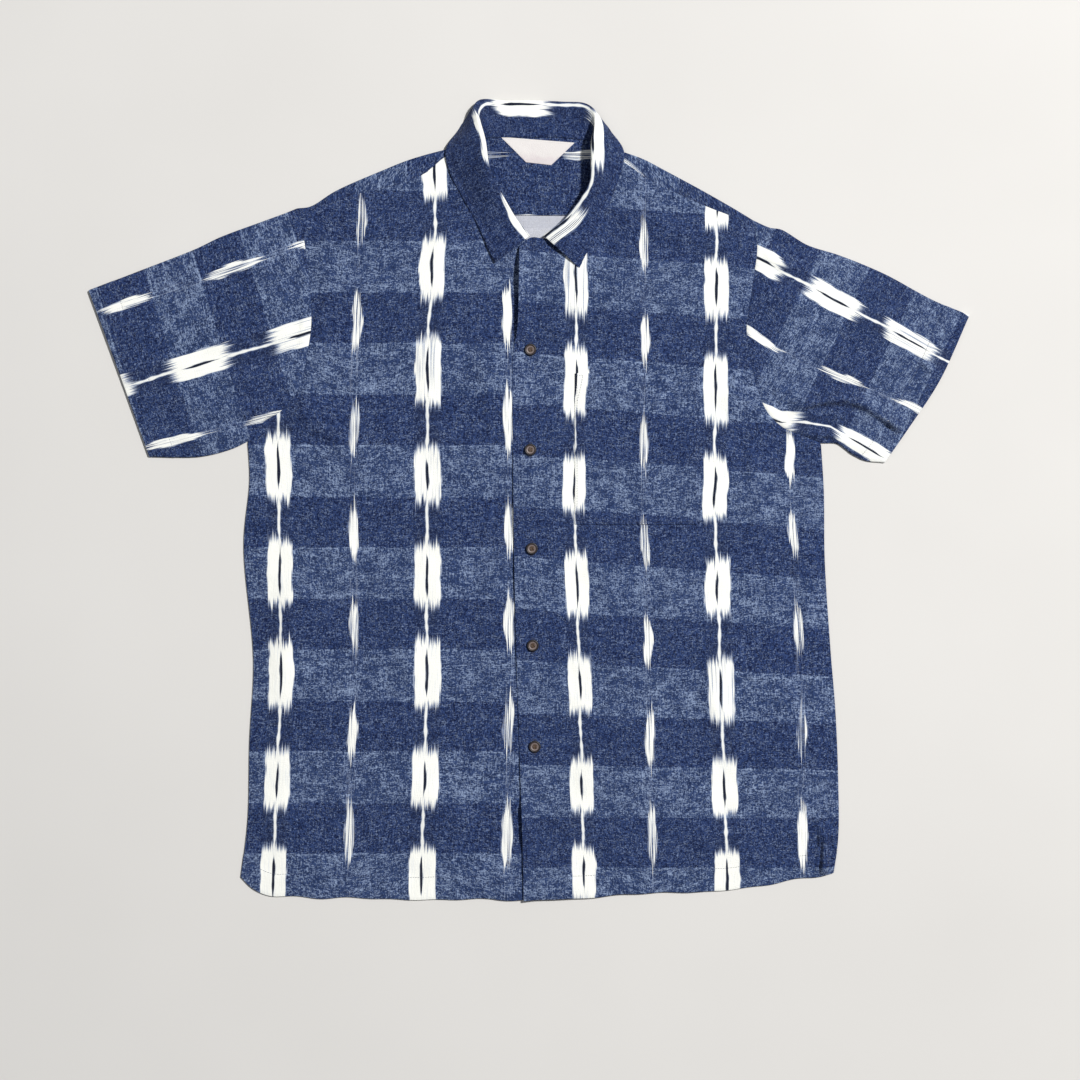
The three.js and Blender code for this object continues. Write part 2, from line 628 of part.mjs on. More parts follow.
BUTTONS.forEach(({ x, y }, i) => {
  const button = add(`button_${i + 1}`, buttonGeometry(), SHELL);
  button.position.set(x, y, heightOn(leftFront, x, y) + WALL / 2 + LAYER_GAP);
});

export default shirt;
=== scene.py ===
"""A man's short-sleeved shirt in indigo ikat cotton, buttoned and laid flat with its fronts up.

Metres, +Z up, lying on z = 0. +Y runs from the hem to the collar and +X to the wearer's left. The pieces
come in the order in which the shirt is sewn together, each with its sizes, colours, cloth and stitching.
"""
import math

import bmesh
import bpy
import numpy as np
from mathutils import Matrix, Vector
from mathutils.bvhtree import BVHTree


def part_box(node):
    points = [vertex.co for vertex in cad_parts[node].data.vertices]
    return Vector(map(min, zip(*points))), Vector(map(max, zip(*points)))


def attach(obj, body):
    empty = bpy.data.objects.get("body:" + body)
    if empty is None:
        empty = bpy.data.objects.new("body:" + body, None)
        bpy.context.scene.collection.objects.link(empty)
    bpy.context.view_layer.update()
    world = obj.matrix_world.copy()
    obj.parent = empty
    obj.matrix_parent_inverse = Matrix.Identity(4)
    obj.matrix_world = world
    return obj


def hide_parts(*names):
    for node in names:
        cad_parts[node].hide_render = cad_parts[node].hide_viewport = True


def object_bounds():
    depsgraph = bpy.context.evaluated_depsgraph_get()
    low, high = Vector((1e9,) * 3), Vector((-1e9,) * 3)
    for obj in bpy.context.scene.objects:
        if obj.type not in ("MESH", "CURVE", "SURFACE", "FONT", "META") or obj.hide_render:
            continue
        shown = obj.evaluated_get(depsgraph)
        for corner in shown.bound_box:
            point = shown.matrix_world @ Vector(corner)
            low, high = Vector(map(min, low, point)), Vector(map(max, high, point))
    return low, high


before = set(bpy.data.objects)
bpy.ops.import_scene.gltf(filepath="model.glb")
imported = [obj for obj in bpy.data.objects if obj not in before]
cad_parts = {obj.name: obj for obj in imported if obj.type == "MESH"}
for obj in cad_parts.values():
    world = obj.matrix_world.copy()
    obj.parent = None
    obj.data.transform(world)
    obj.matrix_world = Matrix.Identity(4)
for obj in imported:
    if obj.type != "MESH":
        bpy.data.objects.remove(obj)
cad_box = [list(corner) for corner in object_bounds()]

# ---- Table, lights and camera ---------------------------------------------------------------------------
# A plain pale table top, wider than the shirt. One large soft light stands low on the wearer's left, so
# that folds and edges cast short shadows to the right side of the body, and the room fills them in.

SHIRT_WIDTH = cad_box[1][0] - cad_box[0][0]
SHIRT_MIDDLE = Vector([(low + high) / 2 for low, high in zip(*cad_box)])
VIEW_WIDTH = 1.2287 * SHIRT_WIDTH
VIEW_MIDDLE = SHIRT_MIDDLE + Vector((0.0114, -0.0411, -SHIRT_MIDDLE.z))
LENS = 85
SENSOR = 36
OBJECT_PLACE = 3  # the texture coordinate node's output for places on an object


def placed(name, data, location=(0, 0, 0)):
    """A new object in the scene."""
    made = bpy.data.objects.new(name, data)
    made.location = location
    bpy.context.scene.collection.objects.link(made)
    return made


def soft_light(name, place, size, power, colour):
    lamp = bpy.data.lights.new(name, "AREA")
    lamp.shape = "DISK"
    lamp.size = size
    lamp.energy = power
    lamp.color = colour
    holder = placed(name, lamp, place)
    holder.rotation_euler = (VIEW_MIDDLE - Vector(place)).to_track_quat("-Z", "Y").to_euler()


soft_light("key_light", (2.68, 1.87, 5.03), 0.55, 440, (1.0, 0.985, 0.96))
soft_light("fill_light", (-2.6, 0.9, 4.4), 2.6, 20, (0.95, 0.975, 1.0))

room = bpy.data.worlds.new("room")
bpy.context.scene.world = room
room.use_nodes = True
room.node_tree.nodes["Background"].inputs["Color"].default_value = (0.93, 0.96, 1.0, 1)
room.node_tree.nodes["Background"].inputs["Strength"].default_value = 0.19

lens = bpy.data.cameras.new("overhead")
lens.lens = LENS
lens.sensor_width = SENSOR
lens.clip_end = 20
eye = VIEW_MIDDLE + Vector((0, 0, VIEW_WIDTH * LENS / SENSOR))
bpy.context.scene.camera = placed("overhead", lens, eye)
bpy.context.scene.view_settings.view_transform = "Standard"


def arithmetic(operation):
    """A method of Value that does one operation on it, and on a second number if it takes one."""
    return lambda *terms: terms[0].maths(operation, *terms)


class Value:
    """A number that varies over a surface: a socket of a material's nodes, with ordinary arithmetic."""

    def __init__(self, tree, socket):
        self.tree = tree
        self.socket = socket

    def maths(self, operation, *terms):
        node = self.tree.nodes.new("ShaderNodeMath")
        node.operation = operation
        for slot, term in zip(node.inputs, terms):
            if isinstance(term, Value):
                self.tree.links.new(term.socket, slot)
            else:
                slot.default_value = term
        return Value(self.tree, node.outputs[0])

    def __rsub__(self, other):
        return self.maths("SUBTRACT", other, self)

    __add__ = __radd__ = arithmetic("ADD")
    __sub__ = arithmetic("SUBTRACT")
    __mul__ = __rmul__ = arithmetic("MULTIPLY")
    __truediv__ = arithmetic("DIVIDE")
    __mod__ = arithmetic("FLOORED_MODULO")
    __abs__ = arithmetic("ABSOLUTE")
    floor = arithmetic("FLOOR")
    sign = arithmetic("SIGN")
    sine = arithmetic("SINE")
    root = arithmetic("SQRT")
    least = arithmetic("MINIMUM")
    most = arithmetic("MAXIMUM")


class Finish:
    """One material: its nodes are added here and joined up to one shader."""

    def __init__(self, name, **shader):
        self.material = bpy.data.materials.new(name)
        self.material.use_nodes = True
        self.tree = self.material.node_tree
        self.shader = self.tree.nodes["Principled BSDF"]
        for socket, value in shader.items():
            self.shader.inputs[socket.replace("_", " ")].default_value = value

    def node(self, kind, settings=None, sockets=None):
        node = self.tree.nodes.new(kind)
        for name, value in (settings or {}).items():
            setattr(node, name, value)
        for name, value in (sockets or {}).items():
            if isinstance(value, Value):
                self.tree.links.new(value.socket, node.inputs[name])
            else:
                node.inputs[name].default_value = value
        return node

    def value(self, kind, settings=None, sockets=None, output=0):
        return Value(self.tree, self.node(kind, settings, sockets).outputs[output])

    def split(self, vector):
        node = self.node("ShaderNodeSeparateXYZ", sockets={"Vector": vector})
        return [Value(self.tree, socket) for socket in node.outputs]

    def joined(self, x, y, z=0.0):
        return self.value("ShaderNodeCombineXYZ", sockets={"X": x, "Y": y, "Z": z})

    def noise(self, x, y, scale=1.0, detail=0.0, roughness=0.5):
        sockets = {"Vector": self.joined(x, y), "Scale": scale, "Detail": detail, "Roughness": roughness}
        return self.value("ShaderNodeTexNoise", {"noise_dimensions": "2D"}, sockets)

    def chance(self, x, y):
        sockets = {"Vector": self.joined(x, y)}
        return self.value("ShaderNodeTexWhiteNoise", {"noise_dimensions": "2D"}, sockets)

    def rise(self, value, low, high):
        """From 0 to 1, smoothly, as a value goes from low to high."""
        sockets = {"Value": value, "From Min": low, "From Max": high}
        return self.value("ShaderNodeMapRange", {"interpolation_type": "SMOOTHSTEP"}, sockets)

    def blend(self, share, first, second):
        """The first colour where share is 0 and the second where it is 1."""
        settings = {"data_type": "RGBA", "blend_type": "MIX"}
        return self.value("ShaderNodeMix", settings, {0: share, 6: first, 7: second}, output=2)

    def feed(self, name, value):
        self.tree.links.new(value.socket, self.shader.inputs[name])

    def bump(self, height, distance, strength=1.0):
        sockets = {"Height": height, "Distance": distance, "Strength": strength}
        self.feed("Normal", self.value("ShaderNodeBump", sockets=sockets))


TABLE_HALF = 3.0
TABLE_DARK = (0.61, 0.60, 0.585, 1)
TABLE_PALE = (0.66, 0.65, 0.635, 1)

table_paint = Finish("table_paint", Roughness=0.85, Specular_IOR_Level=0.25)
table_x, table_y, _ = table_paint.split(table_paint.value("ShaderNodeTexCoord", output=OBJECT_PLACE))
table_tone = table_paint.noise(table_x, table_y, scale=3.0, detail=3.0)
table_paint.feed("Base Color", table_paint.blend(table_tone, TABLE_DARK, TABLE_PALE))
table_mesh = bpy.data.meshes.new("table")
corners = [(x * TABLE_HALF, y * TABLE_HALF, 0) for x, y in ((-1, -1), (1, -1), (1, 1), (-1, 1))]
table_mesh.from_pydata(corners, [], [(0, 1, 2, 3)])
table_mesh.materials.append(table_paint.material)
table = placed("table", table_mesh)

# ---- Ikat cotton ----------------------------------------------------------------------------------------
# Plain-weave slub cotton. The warp is tied and dyed before it is woven, which leaves white dashes with
# feathered ends in two kinds of column, wide double ones and thin single ones. Bands of paler weft cross
# it. The wrong side is the pale one. Sizes are in millimetres, on each piece's own two cloth maps: "warp"
# runs across the columns and along the threads, and "weft" gives the height in the bands.

COLUMN_REPEAT = 152.0  # from one wide column to the next, with a thin one half way
BAND_REPEAT = 106.0
BAND_HALF = 27.0  # half the height of a pale weft band
DASH_HALF = 30.0  # half the length of a wide dash
LOBE = 13.2  # from a wide column's middle to the outside of its dash
SPINDLE_HALF = 26.0
SPINDLE_WIDTH = 4.9  # half width
FEATHER = 17.0  # how far the dye creeps along the threads at a dash's ends
THREAD = 0.62  # spacing of the threads

INDIGO_DARK = (0.0016, 0.0064, 0.037, 1)
INDIGO_PALE = (0.026, 0.050, 0.147, 1)
INDIGO_BAND = (0.031, 0.057, 0.141, 1)
SLIT_DARK = (0.005, 0.007, 0.017, 1)
INDIGO_DEEP = (0.011, 0.017, 0.045, 1)
FLECK = (0.235, 0.305, 0.46, 1)
UNDYED = (0.86, 0.865, 0.82, 1)
UNDYED_DULL = (0.47, 0.54, 0.68, 1)
COLLAR_PALE = (0.0235, 0.0455, 0.136, 1)
COLLAR_FLECK = (0.18, 0.24, 0.39, 1)
COLLAR_WORN_PAST = 150  # along the collar, from the middle of the back
NEVER_WORN = 9000  # further along the threads than any piece reaches
WRONG_SIDE = (0.48, 0.485, 0.52, 1)
WRONG_FLECK = (0.62, 0.64, 0.71, 1)
WRONG_CLOUD = (0.33, 0.36, 0.48, 1)
WRONG_DARK_BAND = (0.36, 0.385, 0.46, 1)
WEAVE_DEPTH = 0.00016


def cloth_maps(finish):
    across, along_threads, _ = finish.split(finish.value("ShaderNodeUVMap", {"uv_map": "warp"}))
    weft_x, weft_y, _ = finish.split(finish.value("ShaderNodeUVMap", {"uv_map": "weft"}))
    return across * 1000, along_threads * 1000, weft_x * 1000, weft_y * 1000


def weave_bump(finish, u, v):
    """Threads over and under each other, with thick and thin places in them."""
    over = (u * (math.pi / THREAD)).sine() * (v * (math.pi / THREAD)).sine()
    slub = finish.noise(u * 0.9, v * 0.16, detail=2.0)
    weft_slub = finish.noise(u * 0.16, v * 0.9, detail=2.0)
    finish.bump(over * 0.28 + slub * 1.3 + weft_slub * 1.3, WEAVE_DEPTH)


def wide_dashes(finish, u, v, wear=0.0):
    """White share and dark shares of the wide columns. Wear opens dark streaks in every dash."""
    offset = (u + COLUMN_REPEAT / 2) % COLUMN_REPEAT - COLUMN_REPEAT / 2
    column = ((u + COLUMN_REPEAT / 2) / COLUMN_REPEAT).floor()
    step = ((v + BAND_REPEAT / 2) / BAND_REPEAT).floor()
    fate = finish.chance(column * 3.7 + 0.5, step * 1.3 + 0.5)
    second_fate = finish.chance(column * 1.9 + 11.5, step * 2.3 + 4.5)
    sway = finish.noise(column * 7.0, v * 0.03) - 0.5
    offset = offset + sway * 3.0
    distance = abs(offset)
    side = offset.sign()
    height = (v + BAND_REPEAT / 2) % BAND_REPEAT - BAND_REPEAT / 2 + (fate - 0.5) * 7
    strands = finish.noise(u * 0.62 + step * 17, v * 0.010, detail=2.0, roughness=0.75)
    wisps = finish.noise(u * 1.5 + step * 5, v * 0.02, detail=1.0)
    half = DASH_HALF + (second_fate - 0.5) * 6 + side * (fate - 0.5) * 3
    past = abs(height) - half
    ends = finish.rise((strands - 0.5) * FEATHER * 1.5 + (wisps - 0.5) * 12 - past, -6.5, 4)
    edge_wave = finish.noise(v * 0.05 + step * 9, side * 3 + column, detail=1.0) - 0.5
    fray = finish.noise(u * 1.1 + step * 3, v * 0.035, detail=2.0) - 0.5
    narrowing = abs(height) * abs(height) * 0.0011
    inside = finish.rise(LOBE - distance + edge_wave * 3.2 + fray * 3.4 - narrowing, -0.7, 0.9)
    streaks = finish.noise(u * 0.95 + step * 11, v * 0.012 + 30, detail=1.0)
    wear_and_painted_highlight = finish.rise(streaks, 0.58, 0.68) * (finish.rise(fate, 0.7, 0.95) * 0.45).most(wear)
    dash = ends * inside * (1 - wear_and_painted_highlight)
    slit_half = 18 + second_fate * 8
    slit_width = finish.rise(slit_half + 2 - abs(height), 0, 16) * 1.4 + edge_wave * 1.1 + fray * 1.7
    slit_end = slit_half - abs(height) + (wisps - 0.5) * 16
    slit = finish.rise(slit_end, -3, 3) * finish.rise(slit_width - distance, -0.45, 0.6)
    cord_half = 1.2 + (finish.noise(v * 0.11, column * 5) - 0.4) * 2.0
    cord = finish.rise(cord_half - distance, -0.8, 0.7) * 0.92
    white = (dash.most(cord)) * (1 - slit)
    stain = finish.rise(LOBE - 1 - distance, -4, 4) * finish.rise(past, -4, 3) * finish.rise(past, 34, 8)
    margin = stain * (1 - white) * (0.45 + 0.55 * fate)
    return white, margin, slit


def wear_of_spindle(fate, second_fate):
    """Some spindles took the dye all through and show only as a few strands."""
    return (fate + second_fate - 1) * 0.24 + 0.07


def thin_dashes(finish, u, v):
    """White share of the thin columns: a spindle in each dark band, and a faint streak between them."""
    offset = u % COLUMN_REPEAT - COLUMN_REPEAT / 2
    column = (u / COLUMN_REPEAT).floor()
    step = (v / BAND_REPEAT).floor()
    fate = finish.chance(column * 2.3 + 31.5, step * 1.7 + 8.5)
    second_fate = finish.chance(column * 4.1 + 3.5, step * 3.1 + 19.5)
    sway = finish.noise(column * 5.0 + 60, v * 0.035) - 0.5
    offset = offset + sway * 4.5
    distance = abs(offset)
    height = v % BAND_REPEAT - BAND_REPEAT / 2 + (fate - 0.5) * 12
    strands = finish.noise(u * 0.85 + step * 13, v * 0.014, detail=2.0, roughness=0.7)
    half = SPINDLE_HALF + (second_fate - 0.5) * 10
    past = abs(height) - half
    taper = finish.rise(past, 8, -22)
    ends = finish.rise((strands - 0.5) * FEATHER * 3.8 - past, -3, 5)
    fray = finish.noise(u * 1.3 + step * 3, v * 0.04, detail=1.0) - 0.5
    inside = finish.rise((taper * 0.5 + 0.5) * SPINDLE_WIDTH - distance + fray * 4.0, -0.6, 0.8)
    bare = strands + wear_of_spindle(fate, second_fate)
    spindle = ends * inside * (0.12 + 0.88 * finish.rise(bare, 0.34, 0.55))
    streak = finish.rise(SPINDLE_WIDTH * 0.8 - distance, -1.5, 1.0) * finish.rise(strands, 0.52, 0.8)
    return spindle.most(streak * 0.32)


def pale_bands(finish, x, y):
    """1 inside a band of paler weft, and the share of its first and last picks."""
    wander = finish.noise(x * 0.02, y * 0.02, detail=1.0) - 0.5
    height = (y + BAND_REPEAT / 2) % BAND_REPEAT - BAND_REPEAT / 2
    depth = BAND_HALF - abs(height) + wander * 2.0
    band = finish.rise(depth, -0.7, 0.7)
    picks = finish.rise(0.9 - abs(depth - 1.2), -0.5, 0.6) * finish.rise(height, -20, 20)
    return band, picks * finish.rise(finish.noise(x * 0.06, y * 0.1, detail=2.0), 0.4, 0.65)


def threads(finish, u, v, start):
    """The uneven tone of each weft thread and of each warp thread, along its length."""
    weft = finish.noise(u * 0.4 + start, (v / THREAD).floor() * 5 + 0.5, detail=1.0)
    warp = finish.noise((u / THREAD).floor() * 5 + 0.5, v * 0.4 + start, detail=1.0)
    return weft, warp


def flecks(finish, u, v, band, picks):
    """Where undyed fibre shows in the blue threads: many short flecks in a pale band, few in a dark one."""
    weft_flecks, warp_flecks = threads(finish, u, v, 90.0)
    weft_streaks = finish.noise(u * 0.05, v * 0.62, detail=2.0)
    warp_streaks = finish.noise(u * 0.62 + 40, v * 0.04, detail=2.0)
    cloud = finish.noise(u * 0.06 + 7, v * 0.09, detail=3.0, roughness=0.6)
    fade = finish.noise(u * 0.012 + 3, v * 0.014 + 5, detail=1.0)
    push = band * (0.03 + fade * 0.07) + picks * 0.10
    push = push + (weft_streaks - 0.5) * 0.24 + (warp_streaks - 0.5) * 0.22
    push = push + (cloud - 0.5) * (0.16 + 0.26 * band)
    weft_share = finish.rise(weft_flecks + push, 0.60, 0.79)
    warp_share = finish.rise(warp_flecks + push, 0.62, 0.81)
    return (weft_share * 0.62 + warp_share * 0.5).least(1.0)


def dyed_cotton(name, pale, fleck_colour, worn_past):
    """The right side of the cloth. Its dashes are streaky past a distance along the threads."""
    finish = Finish(name, Roughness=0.92, Specular_IOR_Level=0.18, Sheen_Weight=0.06, Sheen_Roughness=0.5)
    u, v, x, y = cloth_maps(finish)
    wear = finish.rise(abs(v), worn_past, worn_past + 40) * 0.85
    white, margin, slit = wide_dashes(finish, u, v, wear)
    thin = thin_dashes(finish, u, v)
    band, picks = pale_bands(finish, x, y)
    fleck = flecks(finish, u, v, band, picks)
    weft_tone, warp_tone = threads(finish, u, v, 0.0)
    blue = finish.blend(finish.rise(weft_tone + warp_tone, 0.76, 1.28), INDIGO_DARK, pale)
    blue = finish.blend(band * 0.28, blue, INDIGO_BAND)
    blue = finish.blend(margin * 0.5, blue, INDIGO_DEEP)
    blue = finish.blend(fleck * (0.72 + 0.28 * band) * (1 - margin * 0.5), blue, fleck_colour)
    thread_shade = finish.noise(u * 1.3, v * 0.03, detail=2.0)
    undyed = finish.blend(finish.rise(thread_shade, 0.54, 0.8) * 0.5, UNDYED, UNDYED_DULL)
    half_dyed = white.most(thin)
    undyed = finish.blend(finish.rise(half_dyed, 0.98, 0.4), undyed, UNDYED_DULL)
    dyed = finish.blend(half_dyed, blue, undyed)
    finish.feed("Base Color", finish.blend(slit * 0.95, dyed, SLIT_DARK))
    weave_bump(finish, u, v)
    return finish


ikat = dyed_cotton("ikat_cotton", INDIGO_PALE, FLECK, NEVER_WORN)
deep_ikat = dyed_cotton("deep_ikat_cotton", COLLAR_PALE, COLLAR_FLECK, COLLAR_WORN_PAST)

wrong_side = Finish("ikat_wrong_side", Roughness=0.93, Specular_IOR_Level=0.18)
u, v, x, y = cloth_maps(wrong_side)
white, margin, slit = wide_dashes(wrong_side, u, v)
band, picks = pale_bands(wrong_side, x, y)
fleck = flecks(wrong_side, u, v, band, picks)
pale = wrong_side.blend(fleck * 0.8, WRONG_SIDE, WRONG_FLECK)
pale_cloud = wrong_side.noise(u * 0.12, v * 0.6, detail=3.0)
pale = wrong_side.blend(pale_cloud * 0.4, pale, WRONG_CLOUD)
pale = wrong_side.blend((1 - band) * 0.22, pale, WRONG_DARK_BAND)
wrong_side.feed("Base Color", wrong_side.blend(white, pale, UNDYED))
weave_bump(wrong_side, u, v)

# ---- Seams and panels -----------------------------------------------------------------------------------
# The curves that the cutter's pattern gives. Two pieces that are sewn together share the curve of their
# seam, so they meet all along it. Each point is x, y and height in millimetres, and the heights are the
# middle of the cloth: the shirt's layers lie on each other.

MM = 0.001
WALL = 0.6 * MM
GROUND = 0.5  # the layer on the table
LINING = 2.0  # inner yoke
SIDE = 1.9  # fronts at the side seams and hem
SHOULDER = 3.7  # top layer at the shoulders and over the sleeves
LAP = 4.5  # left front where it laps over the right
UNDERLAP = 2.5  # right front under that lap
KNOT_STEPS = 24  # places on a curve from each point to the next
STRETCH_STEPS = 160


def unit(vectors):
    return vectors / np.linalg.norm(vectors, axis=-1, keepdims=True)


def shares_along(places):
    length = np.concatenate([[0], np.cumsum(np.linalg.norm(np.diff(places, axis=0), axis=1))])
    return length / length[-1]


def edge(*points):
    """A smooth curve through its points, as shares of its length and places in metres."""
    knots = np.array(points, float) * MM
    knots = np.vstack([2 * knots[0] - knots[1], knots, 2 * knots[-1] - knots[-2]])
    runs = []
    for a, b, c, d in zip(knots, knots[1:], knots[2:], knots[3:]):
        tb = np.linalg.norm(b - a) ** 0.5
        tc = tb + np.linalg.norm(c - b) ** 0.5
        td = tc + np.linalg.norm(d - c) ** 0.5
        t = np.linspace(tb, tc, KNOT_STEPS, endpoint=False)[:, None]
        ab = ((tb - t) * a + t * b) / tb
        bc = ((tc - t) * b + (t - tb) * c) / (tc - tb)
        cd = ((td - t) * c + (t - tc) * d) / (td - tc)
        abc = ((tc - t) * ab + t * bc) / tc
        bcd = ((td - t) * bc + (t - tb) * cd) / (td - tb)
        runs.append(((tc - t) * abc + (t - tb) * bcd) / (tc - tb))
    places = np.vstack([*runs, knots[-2:-1]])
    return shares_along(places), places


def level_edge(height, *points):
    """A smooth curve through points that are all at one height."""
    return edge(*((x, y, height) for x, y in points))


def reach(curve, shares):
    """Places on a curve at the given shares of it."""
    return np.stack([np.interp(shares, curve[0], curve[1][:, k]) for k in range(3)], axis=-1)


def stretch(curve, start, end):
    """Part of a curve between two shares, backwards if the first is the larger."""
    places = reach(curve, np.linspace(start, end, STRETCH_STEPS))
    return shares_along(places), places


def joined(*stretches):
    """Curves end to end, each with the share of the rows that it takes."""
    shares = []
    places = []
    start = 0.0
    for curve, weight in stretches:
        shares.append(start + curve[0] * weight)
        places.append(curve[1])
        start += weight
    return np.concatenate(shares), np.vstack(places)


def at_height(curve, height):
    """The same curve, all at one height in millimetres."""
    places = curve[1].copy()
    places[:, 2] = height * MM
    return curve[0], places


armhole_right = edge(
    (-242, 304, SHOULDER), (-234, 267, SHOULDER), (-227, 190, SHOULDER), (-230, 161, 3.6),
    (-241, 115, 3.3), (-258, 94, 2.8), (-277, 82, 2.2), (-293, 62, SIDE),
)
armhole_left = edge(
    (231, 292, SHOULDER), (236, 265, SHOULDER), (232, 230, SHOULDER), (225, 179, SHOULDER),
    (231, 136, 3.4), (245, 95, 2.9), (262, 77, 2.5), (283, 68, 2.2), (302, 60, SIDE),
)
side_right = level_edge(
    SIDE,
    (-300, -390), (-293, -332), (-291, -249), (-287, -165), (-297, -46), (-291, 22), (-293, 62),
)
side_left = level_edge(
    SIDE,
    (315, -386), (320, -350), (320, -290), (317, -217), (312, -155), (306, -61), (305, 11), (302, 60),
)
fold_right = level_edge(
    0,
    (-242, 304), (-228, 306), (-202, 322), (-152, 344), (-124, 355), (-84, 366), (-59, 371),
)
fold_left = level_edge(0, (231, 292), (213, 303), (178, 323), (139, 344), (118, 355), (96, 363), (76, 370))
yoke_seam_right = level_edge(
    SHOULDER,
    (-240, 296), (-187, 316), (-135, 328), (-107, 341), (-85, 358), (-58, 363),
)
yoke_seam_left = level_edge(SHOULDER, (232, 283), (208, 295), (182, 305), (123, 333), (96, 352), (75, 362))
back_seam = level_edge(GROUND, (-236, 276), (-135, 289), (3, 291.5), (135, 287), (236, 265))
back_neck = level_edge(
    GROUND,
    (-59, 369), (-52, 375), (-31, 379), (3, 380), (37, 379), (65, 375), (76, 368),
)
neck_right = edge(
    (17, 268, UNDERLAP), (-3, 271, 2.8), (-19, 284, 3.2), (-33, 304, 3.5),
    (-46, 324, SHOULDER), (-55, 345, SHOULDER), (-58, 363, SHOULDER),
)
neck_left = edge(
    (-11, 264, LAP), (1, 273, LAP), (19, 272, LAP), (35, 282, 4.3), (55, 301, 4.0),
    (69, 322, SHOULDER), (74, 344, SHOULDER), (75, 362, SHOULDER),
)
opening_right = level_edge(UNDERLAP, (17, -414), (16, 1), (17, 268))
opening_left = level_edge(
    LAP,
    (-6, -415), (-8, -342), (-11, -249), (-15, -124), (-17, 1), (-17, 157), (-13, 178), (-11, 264),
)
hem_right = edge(
    (-300, -390, SIDE), (-288, -402, SIDE), (-272, -409, SIDE), (-240, -411, SIDE),
    (-114, -413, 2.2), (17, -414, UNDERLAP),
)
hem_left = edge(
    (-6, -415, LAP), (31, -413, 4.2), (94, -409, 3.4), (177, -405, 2.6),
    (224, -402, 2.2), (266, -394, SIDE), (296, -391, SIDE), (315, -386, SIDE),
)
hem_back = level_edge(
    GROUND,
    (-300, -390), (-288, -400), (-272, -406), (-114, -410), (0, -411), (94, -406), (224, -398),
    (266, -391), (296, -388), (315, -386),
)


def patch(bottom, top, left, right, across, up):
    """The sheet inside four edges that meet at their corners, as rows of places from bottom to top."""
    low, high = reach(bottom, across), reach(top, across)
    near, far = reach(left, up), reach(right, up)
    u = across[None, :, None]
    v = up[:, None, None]
    ruled = near[:, None] * (1 - u) + far[:, None] * u
    lofted = low[None] * (1 - v) + high[None] * v
    corners = (low[0] * (1 - u) + low[-1] * u) * (1 - v) + (high[0] * (1 - u) + high[-1] * u) * v
    return ruled + lofted - corners


def steps(length, size, *fine):
    """Shares from 0 to 1, a step apart, with close ones at the fine places, all in millimetres."""
    shares = list(np.linspace(0, 1, round(length / size) + 1))
    for place in fine:
        shares += [(place + offset) / length for offset in (-1.6, -0.7, 0, 0.7, 1.6)]
    shares = np.array(sorted(shares))
    shares = shares[(shares >= 0) & (shares <= 1)]
    return shares[np.concatenate([[True], np.diff(shares) > 0.3 / length])]


def smooth(value, low, high):
    """From 0 to 1, smoothly, as a value goes from low to high."""
    share = np.clip((value - low) / (high - low), 0, 1)
    return share * share * (3 - 2 * share)


def depth_from(places, side):
    """How far each place of a sheet is from one side, along the rows or columns, in metres."""
    if side in ("left", "right"):
        return depth_from(places.transpose(1, 0, 2), "bottom" if side == "left" else "top").T
    if side == "top":
        return depth_from(places[::-1], "bottom")[::-1]
    step = np.linalg.norm(np.diff(places, axis=0), axis=2)
    return np.vstack([np.zeros((1, places.shape[1])), np.cumsum(step, axis=0)])


CREASE_DEPTH = 2.2


def crease_height(places, creases):
    """Height of some creases, in metres, at each place. Each runs between two points and is soft at its
    ends. Width is its half width, height is a ridge above 0 and a trough below, bow bends it sideways,
    and lean makes one flank steeper than the other."""
    x, y = places[..., 0] / MM, places[..., 1] / MM
    total = np.zeros(x.shape)
    for (x0, y0), (x1, y1), width, height, bow, lean in creases:
        run = np.array([x1 - x0, y1 - y0], float)
        length = np.hypot(*run)
        run /= length
        t = ((x - x0) * run[0] + (y - y0) * run[1]) / length
        off = (x - x0) * -run[1] + (y - y0) * run[0] - bow * 4 * t * (1 - t)
        flank = width * np.where(off > 0, 1 + lean, 1 - lean)
        ends = smooth(t, -0.12, 0.3) * smooth(1 - t, -0.12, 0.3)
        wobble = 1 + 0.3 * np.sin(t * 9 + x0) * np.sin(t * 4 + y0)
        total += height * ends * wobble * np.exp(-(off / flank) ** 2)
    return total * CREASE_DEPTH * MM


def rumple(places, seed, size=1.0):
    """Small uneven waves all over a sheet, in metres: a sum of waves of a few lengths in all directions."""
    draw = np.random.RandomState(seed)
    x, y = places[..., 0] / MM, places[..., 1] / MM
    total = np.zeros(x.shape)
    for wavelength, height, count in ((150, 0.5, 5), (60, 0.22, 7), (26, 0.075, 9), (12, 0.022, 9)):
        for _ in range(count):
            angle = draw.uniform(0, math.pi)
            phase = draw.uniform(0, 2 * math.pi)
            stretch_of = draw.uniform(0.7, 1.4) * wavelength
            across = x * math.cos(angle) + y * math.sin(angle)
            total += height * np.sin(across * 2 * math.pi / stretch_of + phase)
    return total * MM * size


def let_hem_wave(places):
    """Lets the hem run a little unevenly, more so towards its edge."""
    x = places[..., 0] / MM
    near_hem = np.exp(-(depth_from(places, "bottom") / (28 * MM)) ** 2)
    waves = 0.8 * np.sin(x / 15 + 1.4 * np.sin(x / 37)) + 0.5 * np.sin(x / 7.5 + 2)
    places[..., 1] += waves * near_hem * MM


def uneven_wave(along, pace, sway, slow_pace):
    """A wave with crests that are unevenly spaced, as stitches gather the cloth."""
    return np.sin(along * pace + sway * np.sin(along * slow_pace))


def stitched_groove(depth, line):
    """1 along a line of stitches at a depth in from an edge, fading to both sides, in millimetres."""
    return np.exp(-((depth - line) / 1.3) ** 2)


